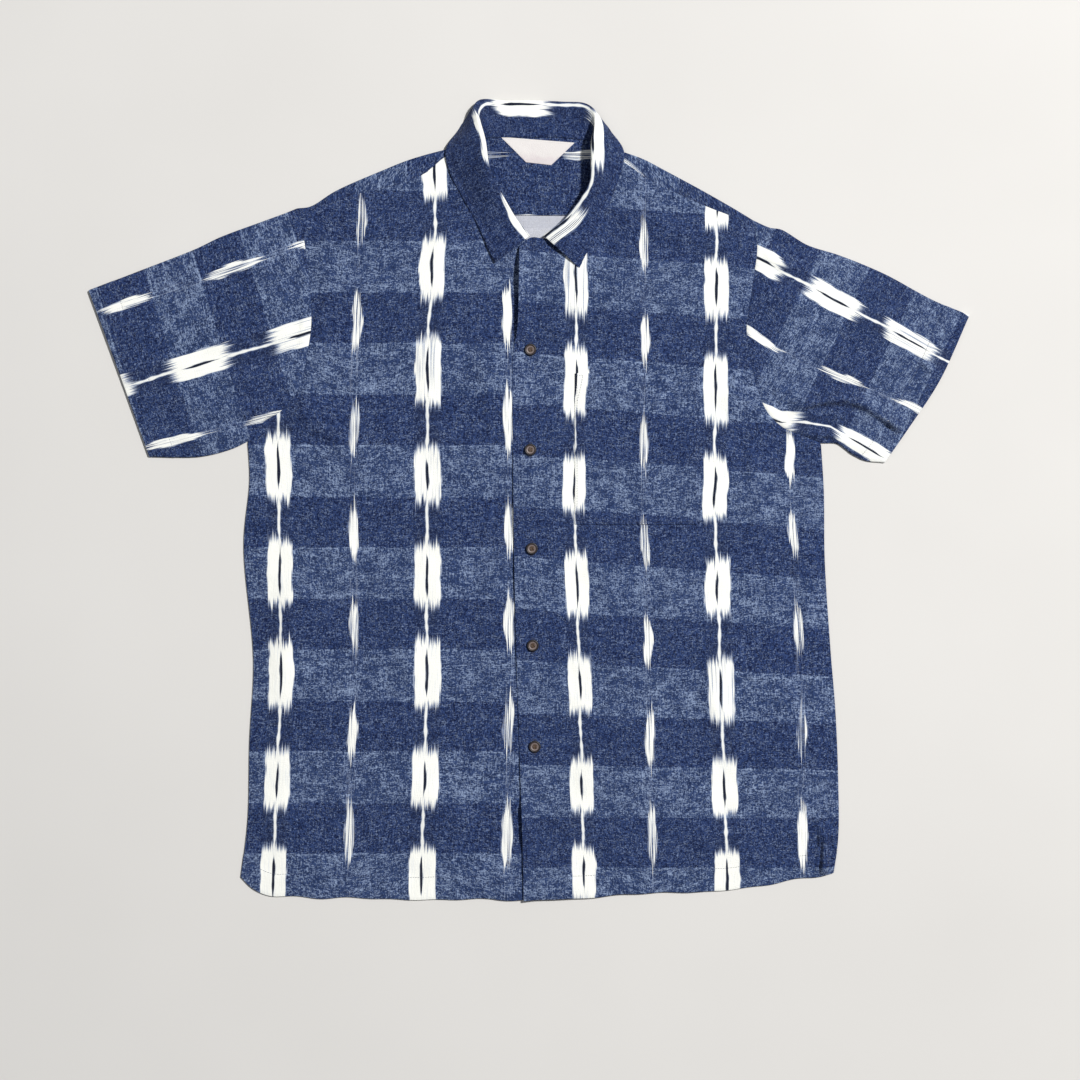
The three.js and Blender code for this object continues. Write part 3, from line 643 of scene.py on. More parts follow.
def away_from_edges(places, distance):
    """0 at a sheet's edges and 1 from a distance in millimetres inwards."""
    nearest = np.minimum.reduce([depth_from(places, side) for side in ("bottom", "top", "left", "right")])
    return smooth(nearest, 0, distance * MM)


def across_columns(x, marks, first):
    """Cloth distance across, in millimetres, where marks are the places of ikat columns in turn. Even
    numbers are wide columns and odd ones thin, counted from the first."""
    u = np.empty(x.shape)
    for k in range(len(marks) - 1):
        inside = (x >= marks[k]) | (k == 0)
        share = (x - marks[k]) / (marks[k + 1] - marks[k])
        u = np.where(inside, (first + k + share) * COLUMN_REPEAT / 2, u)
    return u


def dash_phase(y, column):
    """Cloth distance along the threads, where a column's dashes are at the given heights, top to bottom."""
    first, heights = column
    values = first - BAND_REPEAT * np.arange(len(heights))
    inside = np.interp(y, heights[::-1], values[::-1])
    return inside + np.maximum(y - heights[0], 0) + np.minimum(y - heights[-1], 0)


def body_grain(places, grain):
    """Cloth maps of a front. The grain table gives where its columns run: their x at each height, the
    heights of their dashes, and the height and tilt of the bands."""
    x, y = places[..., 0] / MM, places[..., 1] / MM
    marks = [np.interp(y, grain["heights"], column) for column in grain["columns"]]
    u = across_columns(x, marks, grain["first"])
    share = u / (COLUMN_REPEAT / 2) - grain["first"]
    phases = np.array([dash_phase(y, column) for column in grain["dashes"]])
    share = np.clip(share, 0, len(marks) - 1)
    weights = np.array([np.clip(1 - abs(share - k), 0, 1) for k in range(len(marks))])
    v = np.sum(phases * weights, axis=0)
    bands = y - grain["band"] + grain["tilt"] * (x - grain["level_at"]) * smooth(y, -380, -60)
    return np.stack([u, v], axis=-1) * MM, np.stack([x, bands], axis=-1) * MM


class Sheet:
    """One grid of a piece of cloth: places through the middle of its wall, its two cloth maps and its wall.
    The piece's outer side is the one from which its rows go up with its columns to the right."""

    def __init__(self, places, warp, weft, wall=WALL):
        self.places = places
        self.warp = warp
        self.weft = weft
        self.wall = np.broadcast_to(wall, places.shape[:2])

    def normals(self):
        rows = np.gradient(self.places, axis=0)
        columns = np.gradient(self.places, axis=1)
        return unit(np.cross(columns, rows))

    def turned(self):
        """The same sheet with its outer side on the other side."""
        return Sheet(self.places[:, ::-1], self.warp[:, ::-1], self.weft[:, ::-1], self.wall[:, ::-1])

    def line(self, side, depth, start=0.0, end=1.0, outside=1):
        """Places and normals of a line on the cloth's face, a depth in millimetres in from one side."""
        places = self.places + self.normals() * (outside * self.wall[..., None] / 2)
        normals = self.normals() * outside
        grid = np.concatenate([places, normals], axis=2)
        if side in ("left", "right"):
            grid = grid.transpose(1, 0, 2)
        if side in ("top", "right"):
            grid = grid[::-1]
        depths = depth_from(grid[..., :3], "bottom") / MM
        picked = []
        for j in range(grid.shape[1]):
            picked.append([np.interp(depth, depths[:, j], grid[:, j, k]) for k in range(6)])
        picked = np.array(picked)
        low, high = round(start * (len(picked) - 1)), round(end * (len(picked) - 1))
        return picked[low : high + 1, :3], picked[low : high + 1, 3:]


RIM_ANGLES = [math.radians(angle) for angle in (50, 0, -50)]
WELD_GRID = 1e6  # places that are the same to this part of a metre become one


def cloth(name, sheets, outer, inner):
    """A piece of cloth as a closed wall with rounded edges, from sheets that are welded where they meet."""
    quads = []
    count = 0
    for sheet in sheets:
        rows, columns = sheet.places.shape[:2]
        index = count + np.arange(rows * columns).reshape(rows, columns)
        quad = [index[:-1, :-1], index[:-1, 1:], index[1:, 1:], index[1:, :-1]]
        quads.append(np.stack(quad, axis=-1).reshape(-1, 4))
        count += rows * columns
    quads = np.vstack(quads)
    points = np.vstack([sheet.places.reshape(-1, 3) for sheet in sheets])
    maps = {
        "warp": np.vstack([sheet.warp.reshape(-1, 2) for sheet in sheets]),
        "weft": np.vstack([sheet.weft.reshape(-1, 2) for sheet in sheets]),
    }
    walls = np.concatenate([sheet.wall.ravel() for sheet in sheets])
    rounded = np.round(points * WELD_GRID).astype(int)
    _, first, weld = np.unique(rounded, axis=0, return_index=True, return_inverse=True)
    weld = weld.ravel()
    middle = points[first]
    half = walls[first][:, None] / 2
    faces = weld[quads]
    crossed = np.cross(middle[faces[:, 2]] - middle[faces[:, 0]], middle[faces[:, 3]] - middle[faces[:, 1]])
    normals = np.zeros_like(middle)
    for corner in range(4):
        np.add.at(normals, faces[:, corner], crossed)
    normals = unit(normals)

    start, end = faces.ravel(), np.roll(faces, -1, axis=1).ravel()
    start_map, end_map = quads.ravel(), np.roll(quads, -1, axis=1).ravel()
    size = len(middle)
    free = ~np.isin(start * size + end, end * size + start)
    start, end, start_map, end_map = start[free], end[free], start_map[free], end_map[free]
    outward = np.zeros_like(middle)
    sideways = np.cross(middle[end] - middle[start], normals[start])
    np.add.at(outward, start, sideways)
    np.add.at(outward, end, sideways)
    border = np.unique(start)
    outward = unit(outward[border])
    place_of = np.full(size, -1)
    place_of[border] = np.arange(len(border))

    vertices = [middle + normals * half, middle - normals * half]
    for angle in RIM_ANGLES:
        reach_out = outward * math.cos(angle) + normals[border] * math.sin(angle)
        vertices.append(middle[border] + reach_out * half[border])
    rings = [np.arange(size)]
    rings += [np.full(size, 2 * size + k * len(border)) + place_of for k in range(len(RIM_ANGLES))]
    rings.append(np.arange(size) + size)
    all_faces = [faces, faces[:, ::-1] + size]
    all_maps = [quads, quads[:, ::-1]]
    for upper, lower in zip(rings, rings[1:]):
        all_faces.append(np.stack([upper[end], upper[start], lower[start], lower[end]], axis=1))
        all_maps.append(np.stack([end_map, start_map, start_map, end_map], axis=1))
    all_faces = np.vstack(all_faces)
    all_maps = np.vstack(all_maps)

    mesh = bpy.data.meshes.new(name)
    mesh.from_pydata(np.vstack(vertices).tolist(), [], all_faces.tolist())
    for layer, values in maps.items():
        corners = values[all_maps.ravel()].astype(np.float32)
        mesh.uv_layers.new(name=layer).data.foreach_set("uv", corners.ravel())
    mesh.materials.append(outer.material)
    mesh.materials.append(inner.material)
    finish = np.zeros(len(all_faces), int)
    finish[len(faces) : 2 * len(faces)] = 1
    mesh.polygons.foreach_set("material_index", finish)
    mesh.polygons.foreach_set("use_smooth", np.ones(len(all_faces), bool))
    mesh.update()
    return placed(name, mesh)


def sewn_in(name, sheets, node, finishes=(ikat, wrong_side)):
    """One piece of cloth: it rides with the shirt and stands for its solid, which is hidden."""
    piece = cloth(name, sheets, *finishes)
    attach(piece, "root")
    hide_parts(node)
    return piece


# ---- Back -----------------------------------------------------------------------------------------------
# One panel from the back yoke seam to the hem, cut on the straight grain. It lies right side down on the
# table, so its pale wrong side faces up inside the shirt. The hem is turned up twice.

HEM_DEPTH = 23.0  # of the stitching above the hem
HEM_FADE = 1.5  # the thickness of a hem ends over this, just below its stitches
BACK_HEM_WALL = 0.95 * MM
BACK_BORDER = 60  # the creases fade out this near to the edges
BACK_CREASE_LIMIT = 0.5 * MM  # so that the layers above stay clear
BACK_CLOTH_SHIFT = (0.050, -0.045)  # of its cloth maps against its places, in metres
SIDE_SHARE = 12 / 23
YOKE_TOP = 1 / 12  # share of the armhole that is sewn to the yoke
BACK_CREASES = [
    ((-180, 200), (-60, 120), 14, 0.7, 6, 0.2),
    ((120, 210), (40, 60), 18, 0.6, -8, -0.2),
    ((-60, -40), (-110, -280), 16, 0.7, 7, 0.3),
    ((90, -60), (140, -300), 20, 0.6, -9, 0.1),
    ((-230, -120), (-150, -330), 13, 0.5, 4, 0.2),
    ((230, 40), (200, -160), 15, 0.6, 6, -0.3),
]

across = steps(600, 6)
up = steps(720, 6, HEM_DEPTH, HEM_DEPTH - 4)
sides = []
for side, armhole in ((side_right, armhole_right), (side_left, armhole_left)):
    upper_part = stretch(armhole, 1, YOKE_TOP)
    sides.append(at_height(joined((side, SIDE_SHARE), (upper_part, 1 - SIDE_SHARE)), GROUND))
back_places = patch(hem_back, back_seam, *sides, across, up)
let_hem_wave(back_places)
inner_part = away_from_edges(back_places, BACK_BORDER)
back_relief = np.minimum(np.abs(crease_height(back_places, BACK_CREASES)), BACK_CREASE_LIMIT)
back_places[..., 2] += back_relief * inner_part
hem_fold = smooth(depth_from(back_places, "bottom"), HEM_DEPTH * MM, (HEM_DEPTH - HEM_FADE) * MM)
back_wall = WALL + (BACK_HEM_WALL - WALL) * hem_fold
flat_map = back_places[..., :2] * np.array([-1, 1]) + np.array(BACK_CLOTH_SHIFT)
back_sheet = Sheet(back_places, flat_map, flat_map, back_wall).turned()
sewn_in("back_panel", [back_sheet], "back")

# ---- Yokes ----------------------------------------------------------------------------------------------
# Two layers across the shoulders, cut with the ikat columns from side to side. The outer one lies right
# side down on the table, turns over the shoulders and ends in a topstitched seam on each front. The inner
# one lines it, right side up, and is what shows inside the neck.

FOLD_RADIUS = (SHOULDER - GROUND) / 2 * MM
LINING_INSET = 5 * MM  # inner yoke to the shoulder fold
SHOULDER_SHARE = 10 / 28  # of the yoke's upper edge, for each shoulder
NECK_SHARE = 8 / 28
CLEAR_OF_COLUMN = 18 * MM
UNDER_COLUMN = 326  # where a wide column runs on the outer yoke's flat part, as a height up the shirt
INNER_COLUMN = 284  # the same on the inner yoke
MIDDLE_DASH = 7  # x of the dash near the middle of both
ARM_GRAIN = ((311, 46, -155), (298, 61, 128))  # right and left arm: its column, its dash and its band
shoulder_columns = np.linspace(0, 1, 61)
neck_columns = np.linspace(0, 1, 41)[1:-1]


def flat_direction(vectors):
    """The vectors laid level, with a length of 1."""
    return unit(vectors * np.array([1, 1, 0]))


def shoulder(fold, seam, start, end, distance):
    """Places along a shoulder, a distance in from its folded edge, and the outward directions there."""
    shares = start + (end - start) * shoulder_columns
    folds, seams = reach(fold, shares), reach(seam, shares)
    outward = flat_direction(folds - seams)
    return folds - outward * distance, outward, seams


def yoke_layer(distance, height):
    """One flat layer of yoke, from the back yoke seam to the shoulders and the back neck."""
    right = shoulder(fold_right, yoke_seam_right, 0, 1, distance)[0]
    left = shoulder(fold_left, yoke_seam_left, 1, 0, distance)[0]
    neck = reach(back_neck, neck_columns)
    across = np.concatenate([
        shoulder_columns * SHOULDER_SHARE,
        SHOULDER_SHARE + neck_columns * NECK_SHARE,
        SHOULDER_SHARE + NECK_SHARE + shoulder_columns * SHOULDER_SHARE,
    ])
    top = at_height((across, np.vstack([right, neck, left])), height)
    sides = []
    for armhole, corner in ((armhole_right, top[1][0]), (armhole_left, top[1][-1])):
        side = at_height(stretch(armhole, YOKE_TOP, 0), height)[1][:-1]
        side = side + (corner - side[-1]) * np.linspace(0, 1, len(side))[:, None] ** 2
        sides.append((shares_along(side), side))
    places = patch(at_height(back_seam, height), top, *sides, across, np.linspace(0, 1, 34))
    places[-1] = top[1]
    return places


def turned_over(fold, seam, start, end):
    """The yoke's arm: round the shoulder fold and down to its seam on the front."""
    flat_start, outward, seams = shoulder(fold, seam, start, end, WALL / 2 + FOLD_RADIUS)
    rows = []
    for angle in np.radians(np.linspace(-90, 90, 13)):
        row = flat_start + outward * FOLD_RADIUS * math.cos(angle)
        row[:, 2] = GROUND * MM + FOLD_RADIUS * (1 + math.sin(angle))
        rows.append(row)
    for share in np.linspace(0, 1, 12)[1:]:
        row = rows[12] * (1 - share) + seams * share
        row[:, 2] += 0.35 * MM * math.sin(share * math.pi)
        rows.append(row)
    return np.array(rows)


def yoke_grain(places, depth, column_at, dash_at, band_at=None):
    """Cloth maps of a yoke: its columns run from side to side, at a depth up from the hem, and its pale
    bands, if it has one, run up it."""
    x = places[..., 0] / MM
    warp = np.stack([depth - column_at, x - dash_at], axis=-1) * MM
    bands = np.full(depth.shape, BAND_REPEAT / 2) if band_at is None else np.clip(x - band_at, -50, 50)
    return warp, np.stack([depth, bands], axis=-1) * MM


under_places = yoke_layer(WALL / 2 + FOLD_RADIUS, GROUND)
arms = [turned_over(fold_right, yoke_seam_right, 0, 1), turned_over(fold_left, yoke_seam_left, 1, 0)]
under_places[-1, : len(shoulder_columns)] = arms[0][0]
under_places[-1, -len(shoulder_columns) :] = arms[1][0]
under_maps = yoke_grain(under_places, under_places[..., 1] / MM, UNDER_COLUMN, MIDDLE_DASH)
yoke_sheets = [Sheet(under_places, *under_maps).turned()]
for arm, grain in zip(arms, ARM_GRAIN):
    arm_maps = yoke_grain(arm, arm[:1, :, 1] / MM + depth_from(arm, "bottom") / MM, *grain)
    # The cloth is cut so that no wide column crosses an arm.
    arm_maps[0][..., 0] = CLEAR_OF_COLUMN + np.abs(arm_maps[0][..., 0] - CLEAR_OF_COLUMN)
    yoke_sheets.append(Sheet(arm, *arm_maps).turned())
sewn_in("outer_yoke", yoke_sheets, "yoke_outer")

inner_places = yoke_layer(LINING_INSET, LINING)
inner_dash = MIDDLE_DASH + 4 * BAND_REPEAT
inner_maps = yoke_grain(inner_places, inner_places[..., 1] / MM, INNER_COLUMN, inner_dash)
inner_maps[0][..., 1] *= -1
inner_places[..., 2] += np.maximum(rumple(inner_places, 5), 0) * away_from_edges(inner_places, 20) * 0.6
inner_sheet = Sheet(inner_places, *inner_maps)
yoke_inner = sewn_in("inner_yoke", [inner_sheet], "yoke_inner")

# ---- Fronts ---------------------------------------------------------------------------------------------
# Two panels from the yoke seam to the hem. The wearer's left laps over the right and is buttoned to it.
# The ikat columns run down them, and the pale bands cross them. The cloth creases lightly where it was
# folded and gathers a little under the arms. Hems are turned up twice, and the opening is faced.

RIGHT_GRAIN = {
    "first": 0,
    "heights": (-390, -180, 0, 150, 290),
    "columns": [
        (-267, -258, -261, -262, -258),
        (-189.5, -182.5, -183.5, -181.5, -174.5),
        (-113, -107, -107, -106.5, -98.5),
        (-24.5, -21, -22, -23.5, -24),
    ],
    "dashes": [
        (0, (39, -77, -178.5, -289, -389)),
        (265, (287, 186, 71, -34, -125, -234, -353)),
        (318, (343, 244, 139, 30, -76, -181, -290, -389)),
        (159, (195, 78, -26, -127, -233, -356)),
    ],
    "band": 31,
    "tilt": 0.0,
    "level_at": 0,
}
LEFT_GRAIN = {
    "first": 4,
    "heights": (-390, -180, 0, 150, 290),
    "columns": [
        (56, 51.5, 46, 48, 48),
        (128, 123, 118, 120, 118),
        (205, 197.5, 191.5, 193, 194),
        (284, 282, 271, 269, 268),
    ],
    "dashes": [
        (212, (234, 120.5, 16, -84, -193, -295, -388)),
        (265, (261, 176, 58, -45, -142, -248, -354)),
        (318, (307, 222, 119, 10, -87, -192.5, -303, -389)),
        (53, (42.6, -30, -132, -246.5, -349)),
    ],
    "band": 16.5,
    "tilt": 0.075,
    "level_at": 50,
}
RIGHT_CREASES = [
    ((-292, 70), (-205, 58), 9, -1.6, -4, 0.2),
    ((-285, 84), (-190, 96), 12, 1.5, 6, -0.2),
    ((-262, 122), (-188, 52), 13, 1.5, -4, 0.3),
    ((-222, 205), (-150, 225), 14, 1.0, 5, 0.2),
    ((-215, 268), (-120, 292), 11, 1.1, 4, -0.3),
    ((-92, 318), (-64, 262), 12, -1.2, 3, 0.2),
    ((-170, -60), (-120, -210), 17, 1.1, 8, 0.3),
    ((-235, -70), (-262, -230), 14, 1.0, -6, -0.2),
    ((-60, 190), (-38, 60), 12, 0.9, 5, 0.2),
    ((-42, -20), (-60, -190), 15, -0.9, -6, -0.3),
    ((-150, -300), (-62, -330), 14, 0.9, 5, 0.2),
    ((-270, -335), (-180, -300), 13, 0.9, -6, 0.2),
    ((-145, 150), (-120, 30), 15, -0.7, 6, 0.1),
]
LEFT_CREASES = [
    ((285, 72), (205, 62), 10, -1.4, 5, 0.2),
    ((290, 86), (196, 108), 12, 1.4, -6, 0.2),
    ((226, 64), (228, 18), 5, 1.3, 2, 0.4),
    ((240, 40), (238, -40), 12, 1.0, -3, -0.2),
    ((206, 268), (120, 296), 11, 1.2, 4, 0.2),
    ((196, 282), (160, 240), 9, -1.0, -3, -0.3),
    ((96, 300), (74, 240), 12, -1.1, -4, 0.2),
    ((180, -120), (215, -290), 16, 1.1, -7, 0.3),
    ((288, -20), (300, -160), 13, 1.4, 5, -0.2),
    ((272, -90), (286, -230), 11, -1.0, -4, 0.2),
    ((60, -40), (96, -190), 15, 0.9, 7, 0.2),
    ((120, -235), (52, -300), 14, 0.8, -5, -0.2),
    ((240, -330), (160, -352), 13, 0.9, 5, 0.3),
    ((22, 196), (40, 120), 10, 0.8, 4, 0.2),
]
# The corner at the left side seam is pulled into short upright folds.
CORNER_FOLDS = [
    ((303, -334), (301, -396), 9, 3.2, 2, 0.4),
    ((311, -344), (309, -400), 2.2, -4.2, 1.5, 0.2),
    ((303, -352), (301, -396), 1.9, -2.4, -1, 0.1),
    ((296, -346), (295, -390), 1.7, -1.6, 1, 0.1),
]
CORNER_COLUMNS = (294, 298, 302, 306, 310, 313)  # finer steps across, where the corner folds are
FRONT_CROWN = 1.2 * MM
FRONT_WIDTH = 315
FRONT_LENGTH = 720
FRONT_STEP = 3.2
FRONT_HEM_WALL = 1.275 * MM
FRONT_BORDER = 26  # the creases fade out this near to the edges
CORNER_BORDER = 7  # and the corner folds this near
FULLNESS = 0.35  # how far the cloth stands off the layer under it
FRONT_LOWEST = SIDE - 0.15  # so that troughs stay off the back
PUCKER_HEIGHT = 0.16  # of the small waves along stitching
PUCKERS_END = 34
GROOVE_DEPTH = 0.22
FACING_STEP = 0.3
OPENING_SHARE = 17 / 24
FACING = 52.0  # width of the facing inside the opening, which shows as a slight step


def front(grain, creases, bottom, top, left, right, seed, opening, fine_columns=()):
    across = steps(FRONT_WIDTH, FRONT_STEP, *fine_columns)
    up = steps(FRONT_LENGTH, FRONT_STEP, HEM_DEPTH)
    places = patch(bottom, top, left, right, across, up)
    let_hem_wave(places)
    u = across[None, :]
    v = up[:, None]
    places[..., 2] += FRONT_CROWN * np.sqrt(16 * u * (1 - u) * v * (1 - v))
    inner_part = away_from_edges(places, FRONT_BORDER)
    relief = crease_height(places, creases) + rumple(places, seed) + FULLNESS * MM
    places[..., 2] += relief * inner_part
    places[..., 2] += crease_height(places, CORNER_FOLDS) * away_from_edges(places, CORNER_BORDER)
    from_hem = depth_from(places, "bottom")
    puckers = uneven_wave(places[..., 0] / MM, 0.42, 2, 0.11) * PUCKER_HEIGHT * MM
    hem_band = smooth(from_hem, 0, 6 * MM) * smooth(from_hem, PUCKERS_END * MM, HEM_DEPTH * MM)
    places[..., 2] += puckers * hem_band
    places[..., 2] -= GROOVE_DEPTH * MM * stitched_groove(from_hem / MM, HEM_DEPTH)
    facing = smooth(depth_from(places, opening), (FACING + 2) * MM, (FACING - 1) * MM)
    hem = smooth(from_hem, HEM_DEPTH * MM, (HEM_DEPTH - HEM_FADE) * MM)
    wall = WALL + (FRONT_HEM_WALL - WALL) * hem
    places[..., 2] += FACING_STEP * MM * facing
    places[..., 2] = np.maximum(places[..., 2], FRONT_LOWEST * MM)
    warp, weft = body_grain(places, grain)
    return Sheet(places, warp, weft, wall)


right_sheet = front(
    RIGHT_GRAIN,
    RIGHT_CREASES,
    hem_right,
    yoke_seam_right,
    joined((side_right, 0.5), (stretch(armhole_right, 1, 0.02), 0.5)),
    joined((opening_right, OPENING_SHARE), (neck_right, 1 - OPENING_SHARE)),
    11,
    "right",
)
sewn_in("right_front", [right_sheet], "front_right")

left_sheet = front(
    LEFT_GRAIN,
    LEFT_CREASES,
    hem_left,
    stretch(yoke_seam_left, 1, 0),
    joined((opening_left, OPENING_SHARE), (neck_left, 1 - OPENING_SHARE)),
    joined((side_left, 0.5), (stretch(armhole_left, 1, 0.02), 0.5)),
    23,
    "left",
    CORNER_COLUMNS,
)
# The lapped edge stands a little open above the first button and again just above the hem.
from_edge = depth_from(left_sheet.places, "left") / MM
height_up = left_sheet.places[..., 1] / MM
top_gape = smooth(height_up, 158, 190) * smooth(height_up, 272, 238)
low_gape = smooth(height_up, -366, -340) * smooth(height_up, -300, -325)
left_sheet.places[..., 2] += (6.5 * top_gape + 4.5 * low_gape + 1.3) * MM * np.exp(-(from_edge / 9) ** 2)
front_left = sewn_in(
    "left_front", [left_sheet], "front_left",
)

# ---- Sleeves --------------------------------------------------------------------------------------------
# Short sleeves, each one panel joined in an underarm seam and set into the armhole. They lie flat as tubes,
# folded along the upper and lower edges, with the cuff hem turned up twice.

CUFF_DEPTH = 27.0  # of the stitching above the cuff
CUFF_WALL = 1.1 * MM
SLEEVE_CROWN = 0.6 * MM
SLEEVE_LENGTH = 200
SLEEVE_STEP = 2.4
SLEEVE_ROWS = 84
SLEEVE_BORDER = 16
SLEEVE_FULLNESS = 0.3
SLEEVE_RUMPLE = 0.9
UNDER_BLEND = 24  # rows over which the under layer's columns leave the upper layer's
CORNER_EASE = 0.4  # how far the corner under the arm is moved
CUFF_PUCKER = 0.13
CUFF_PUCKERS_END = 36
CUFF_GROOVE = 0.2
SEAM_RIDGE = 0.75  # where the armhole's seam allowance lies under the sleeve
FOLD_STEPS = 11
RIGHT_SLEEVE_GRAIN = {
    "first": -1,
    "lines": [
        ((-400, 55), (-255, 90.5)),
        ((-405.6, 123), (-229, 175)),
        ((-405.6, 209), (-234, 266)),
    ],
    "dashes": (0, 0.5, 3),
    "repeats": (106, 114, 106),
    "origin": (-342, 142),
    "along": (0.955, 0.297),
    "draw": (7, 3),
}
LEFT_SLEEVE_GRAIN = {
    "first": 0,
    "lines": [
        ((262, 81.5), (285, 82), (312, 77), (347.4, 56), (372.3, 42.6)),
        ((224.6, 178.9), (254.8, 157), (314, 132), (391, 100.9)),
        ((234, 253.8), (424.3, 149.8)),
    ],
    "dashes": (1, 2, 6),
    "repeats": (100, 90, 94),
    "origin": (308.9, 213),
    "along": (0.9, -0.436),
    "draw": (12, 8),
}
RIGHT_SLEEVE_CREASES = [
    ((-236, 262), (-300, 236), 9, 1.5, 3, 0.3),
    ((-232, 214), (-316, 176), 10, 1.2, -5, -0.3),
    ((-238, 150), (-330, 120), 11, 1.1, 4, 0.2),
    ((-262, 96), (-352, 92), 9, 1.4, -3, 0.2),
    ((-300, 74), (-372, 62), 8, 1.0, 3, -0.3),
    ((-330, 210), (-420, 168), 14, 0.9, 5, 0.2),
    ((-350, 240), (-424, 214), 10, 0.8, -4, 0.1),
]
LEFT_SLEEVE_CREASES = [
    ((240, 258), (282, 240), 7, 1.7, -3, 0.4),
    ((238, 214), (300, 196), 10, 1.2, 4, -0.2),
    ((250, 116), (292, 104), 9, 1.0, -3, 0.2),
    ((274, 93), (354, 97), 6, 3.5, 8, 0.62),
    ((332, 103), (398, 60), 6, 3.3, 4, 0.62),
    ((292, 74), (352, 72), 8, -1.2, 3, 0.2),
    ((276, 66), (322, 66), 5, 1.6, 3, 0.4),
    ((286, 62), (306, 62), 4, 1.2, 1, 0.2),
    ((404, 146), (420, 128), 5, 1.5, 2, 0.4),
    ((330, 200), (410, 168), 13, 0.9, -4, -0.2),
    ((300, 150), (372, 128), 11, 0.8, 4, 0.1),
]


def sleeve_grain(places, grain):
    """Cloth maps of a sleeve. The columns run along it, at the given lines, and the bands across it."""
    x, y = places[..., 0] / MM, places[..., 1] / MM
    marks = []
    for line in grain["lines"]:
        start, end = np.array(line[0]), np.array(line[-1])
        slope = (end - start)[1] / (end - start)[0]
        inside = np.interp(x, [point[0] for point in line], [point[1] for point in line])
        marks.append(inside + slope * (np.minimum(x - start[0], 0) + np.maximum(x - end[0], 0)))
    u = across_columns(y, marks, grain["first"])
    column = u / (COLUMN_REPEAT / 2) - grain["first"]
    lift = np.interp(column, range(len(marks)), grain["dashes"])
    repeat = np.interp(column, range(len(marks)), grain["repeats"])
    along = (x - grain["origin"][0]) * grain["along"][0] + (y - grain["origin"][1]) * grain["along"][1]
    return u, (along - lift) * BAND_REPEAT / repeat, along


def half_turn(places, outward, height):
    """Rows about a folded edge, from the layer on the table up to the given heights."""
    radius = (height - GROUND * MM) / 2
    rows = []
    for angle in np.radians(np.linspace(-90, 90, FOLD_STEPS)):
        row = places + outward * ((math.cos(angle) - 1) * radius - WALL / 2)[:, None]
        row[:, 2] = GROUND * MM + radius * (1 + math.sin(angle))
        rows.append(row)
    return np.array(rows)


def sleeve(top, grain, creases, seed, cuff, armhole_column):
    """A sleeve as a flat tube, made from the outline and heights of its upper layer."""
    relief = crease_height(top, creases) + rumple(top, seed, SLEEVE_RUMPLE) + SLEEVE_FULLNESS * MM
    inner_part = away_from_edges(top, SLEEVE_BORDER)
    top[..., 2] += relief * inner_part
    run = flat_direction(np.gradient(top, axis=1))
    outward = [flat_direction(top[0] - top[1]), flat_direction(top[-1] - top[-2])]
    for side, edge_run in zip(outward, (run[0], run[-1])):
        along = np.sum(side * edge_run, axis=1, keepdims=True)
        side /= np.maximum(np.linalg.norm(side - edge_run * along, axis=1, keepdims=True), 0.25)
    lower = half_turn(top[0], outward[0], top[0][:, 2])
    upper = half_turn(top[-1], outward[1], top[-1][:, 2])[::-1]
    over = top[1:-1]
    under = over[::-1].copy()
    under[..., 2] = GROUND * MM
    rounds = np.concatenate([lower, over, upper, under, lower[:1]])
    # The corner under the arm is eased back along its fold, clear of the end of the side seam.
    neighbour = armhole_column + (1 if armhole_column == 0 else -1)
    for row in (*range(len(lower)), len(rounds) - 1):
        away = rounds[row, neighbour] - rounds[row, armhole_column]
        rounds[row, armhole_column] += away * (CORNER_EASE * MM / np.linalg.norm(away))
    u, dashes, bands = sleeve_grain(rounds, grain)
    straight = sleeve_grain(rounds, {**grain, "lines": [(line[0], line[-1]) for line in grain["lines"]]})[0]
    fold_row = len(lower) + len(over) + len(upper) // 2
    row_number = np.arange(len(rounds))[:, None]
    slope, start = np.polyfit(rounds[fold_row, :, 0], straight[fold_row], 1)
    under_u = 2 * (start + slope * rounds[..., 0]) - straight
    under_u += (u[fold_row] - under_u[fold_row]) * smooth(row_number, fold_row + UNDER_BLEND, fold_row)
    u = np.where(row_number > fold_row, under_u, u) + grain["draw"][0] * COLUMN_REPEAT
    dashes = dashes + grain["draw"][1] * BAND_REPEAT
    from_cuff = depth_from(rounds, cuff)
    hem = smooth(from_cuff, CUFF_DEPTH * MM, (CUFF_DEPTH - HEM_FADE) * MM)
    wall = WALL + (CUFF_WALL - WALL) * hem
    wall = np.minimum(wall, 2 * (rounds[..., 2] - 0.05 * MM))
    wave = np.sin((row_number + 1) * 1.1 + 2 * np.sin(row_number * 0.5))
    puckers = wave * CUFF_PUCKER * MM * smooth(from_cuff, 0, 6 * MM)
    puckers *= smooth(from_cuff, CUFF_PUCKERS_END * MM, CUFF_DEPTH * MM)
    groove = CUFF_GROOVE * MM * stitched_groove(from_cuff / MM, CUFF_DEPTH)
    from_armhole = depth_from(rounds, "left" if cuff == "right" else "right") / MM
    seam_ridge = SEAM_RIDGE * MM * smooth(from_armhole, 0.6, 3.0) * smooth(from_armhole, 13, 10)
    seam_ridge *= 1 + 0.25 * uneven_wave(row_number, 0.9, 1.5, 0.37)
    puckers = puckers + seam_ridge
    upper_part = np.zeros(len(rounds))
    upper_part[len(lower) : len(lower) + len(over)] = 1
    rounds[..., 2] += (puckers - groove) * upper_part[:, None]
    return Sheet(rounds, np.stack([u, dashes], axis=-1) * MM, np.stack([u, bands], axis=-1) * MM, wall)


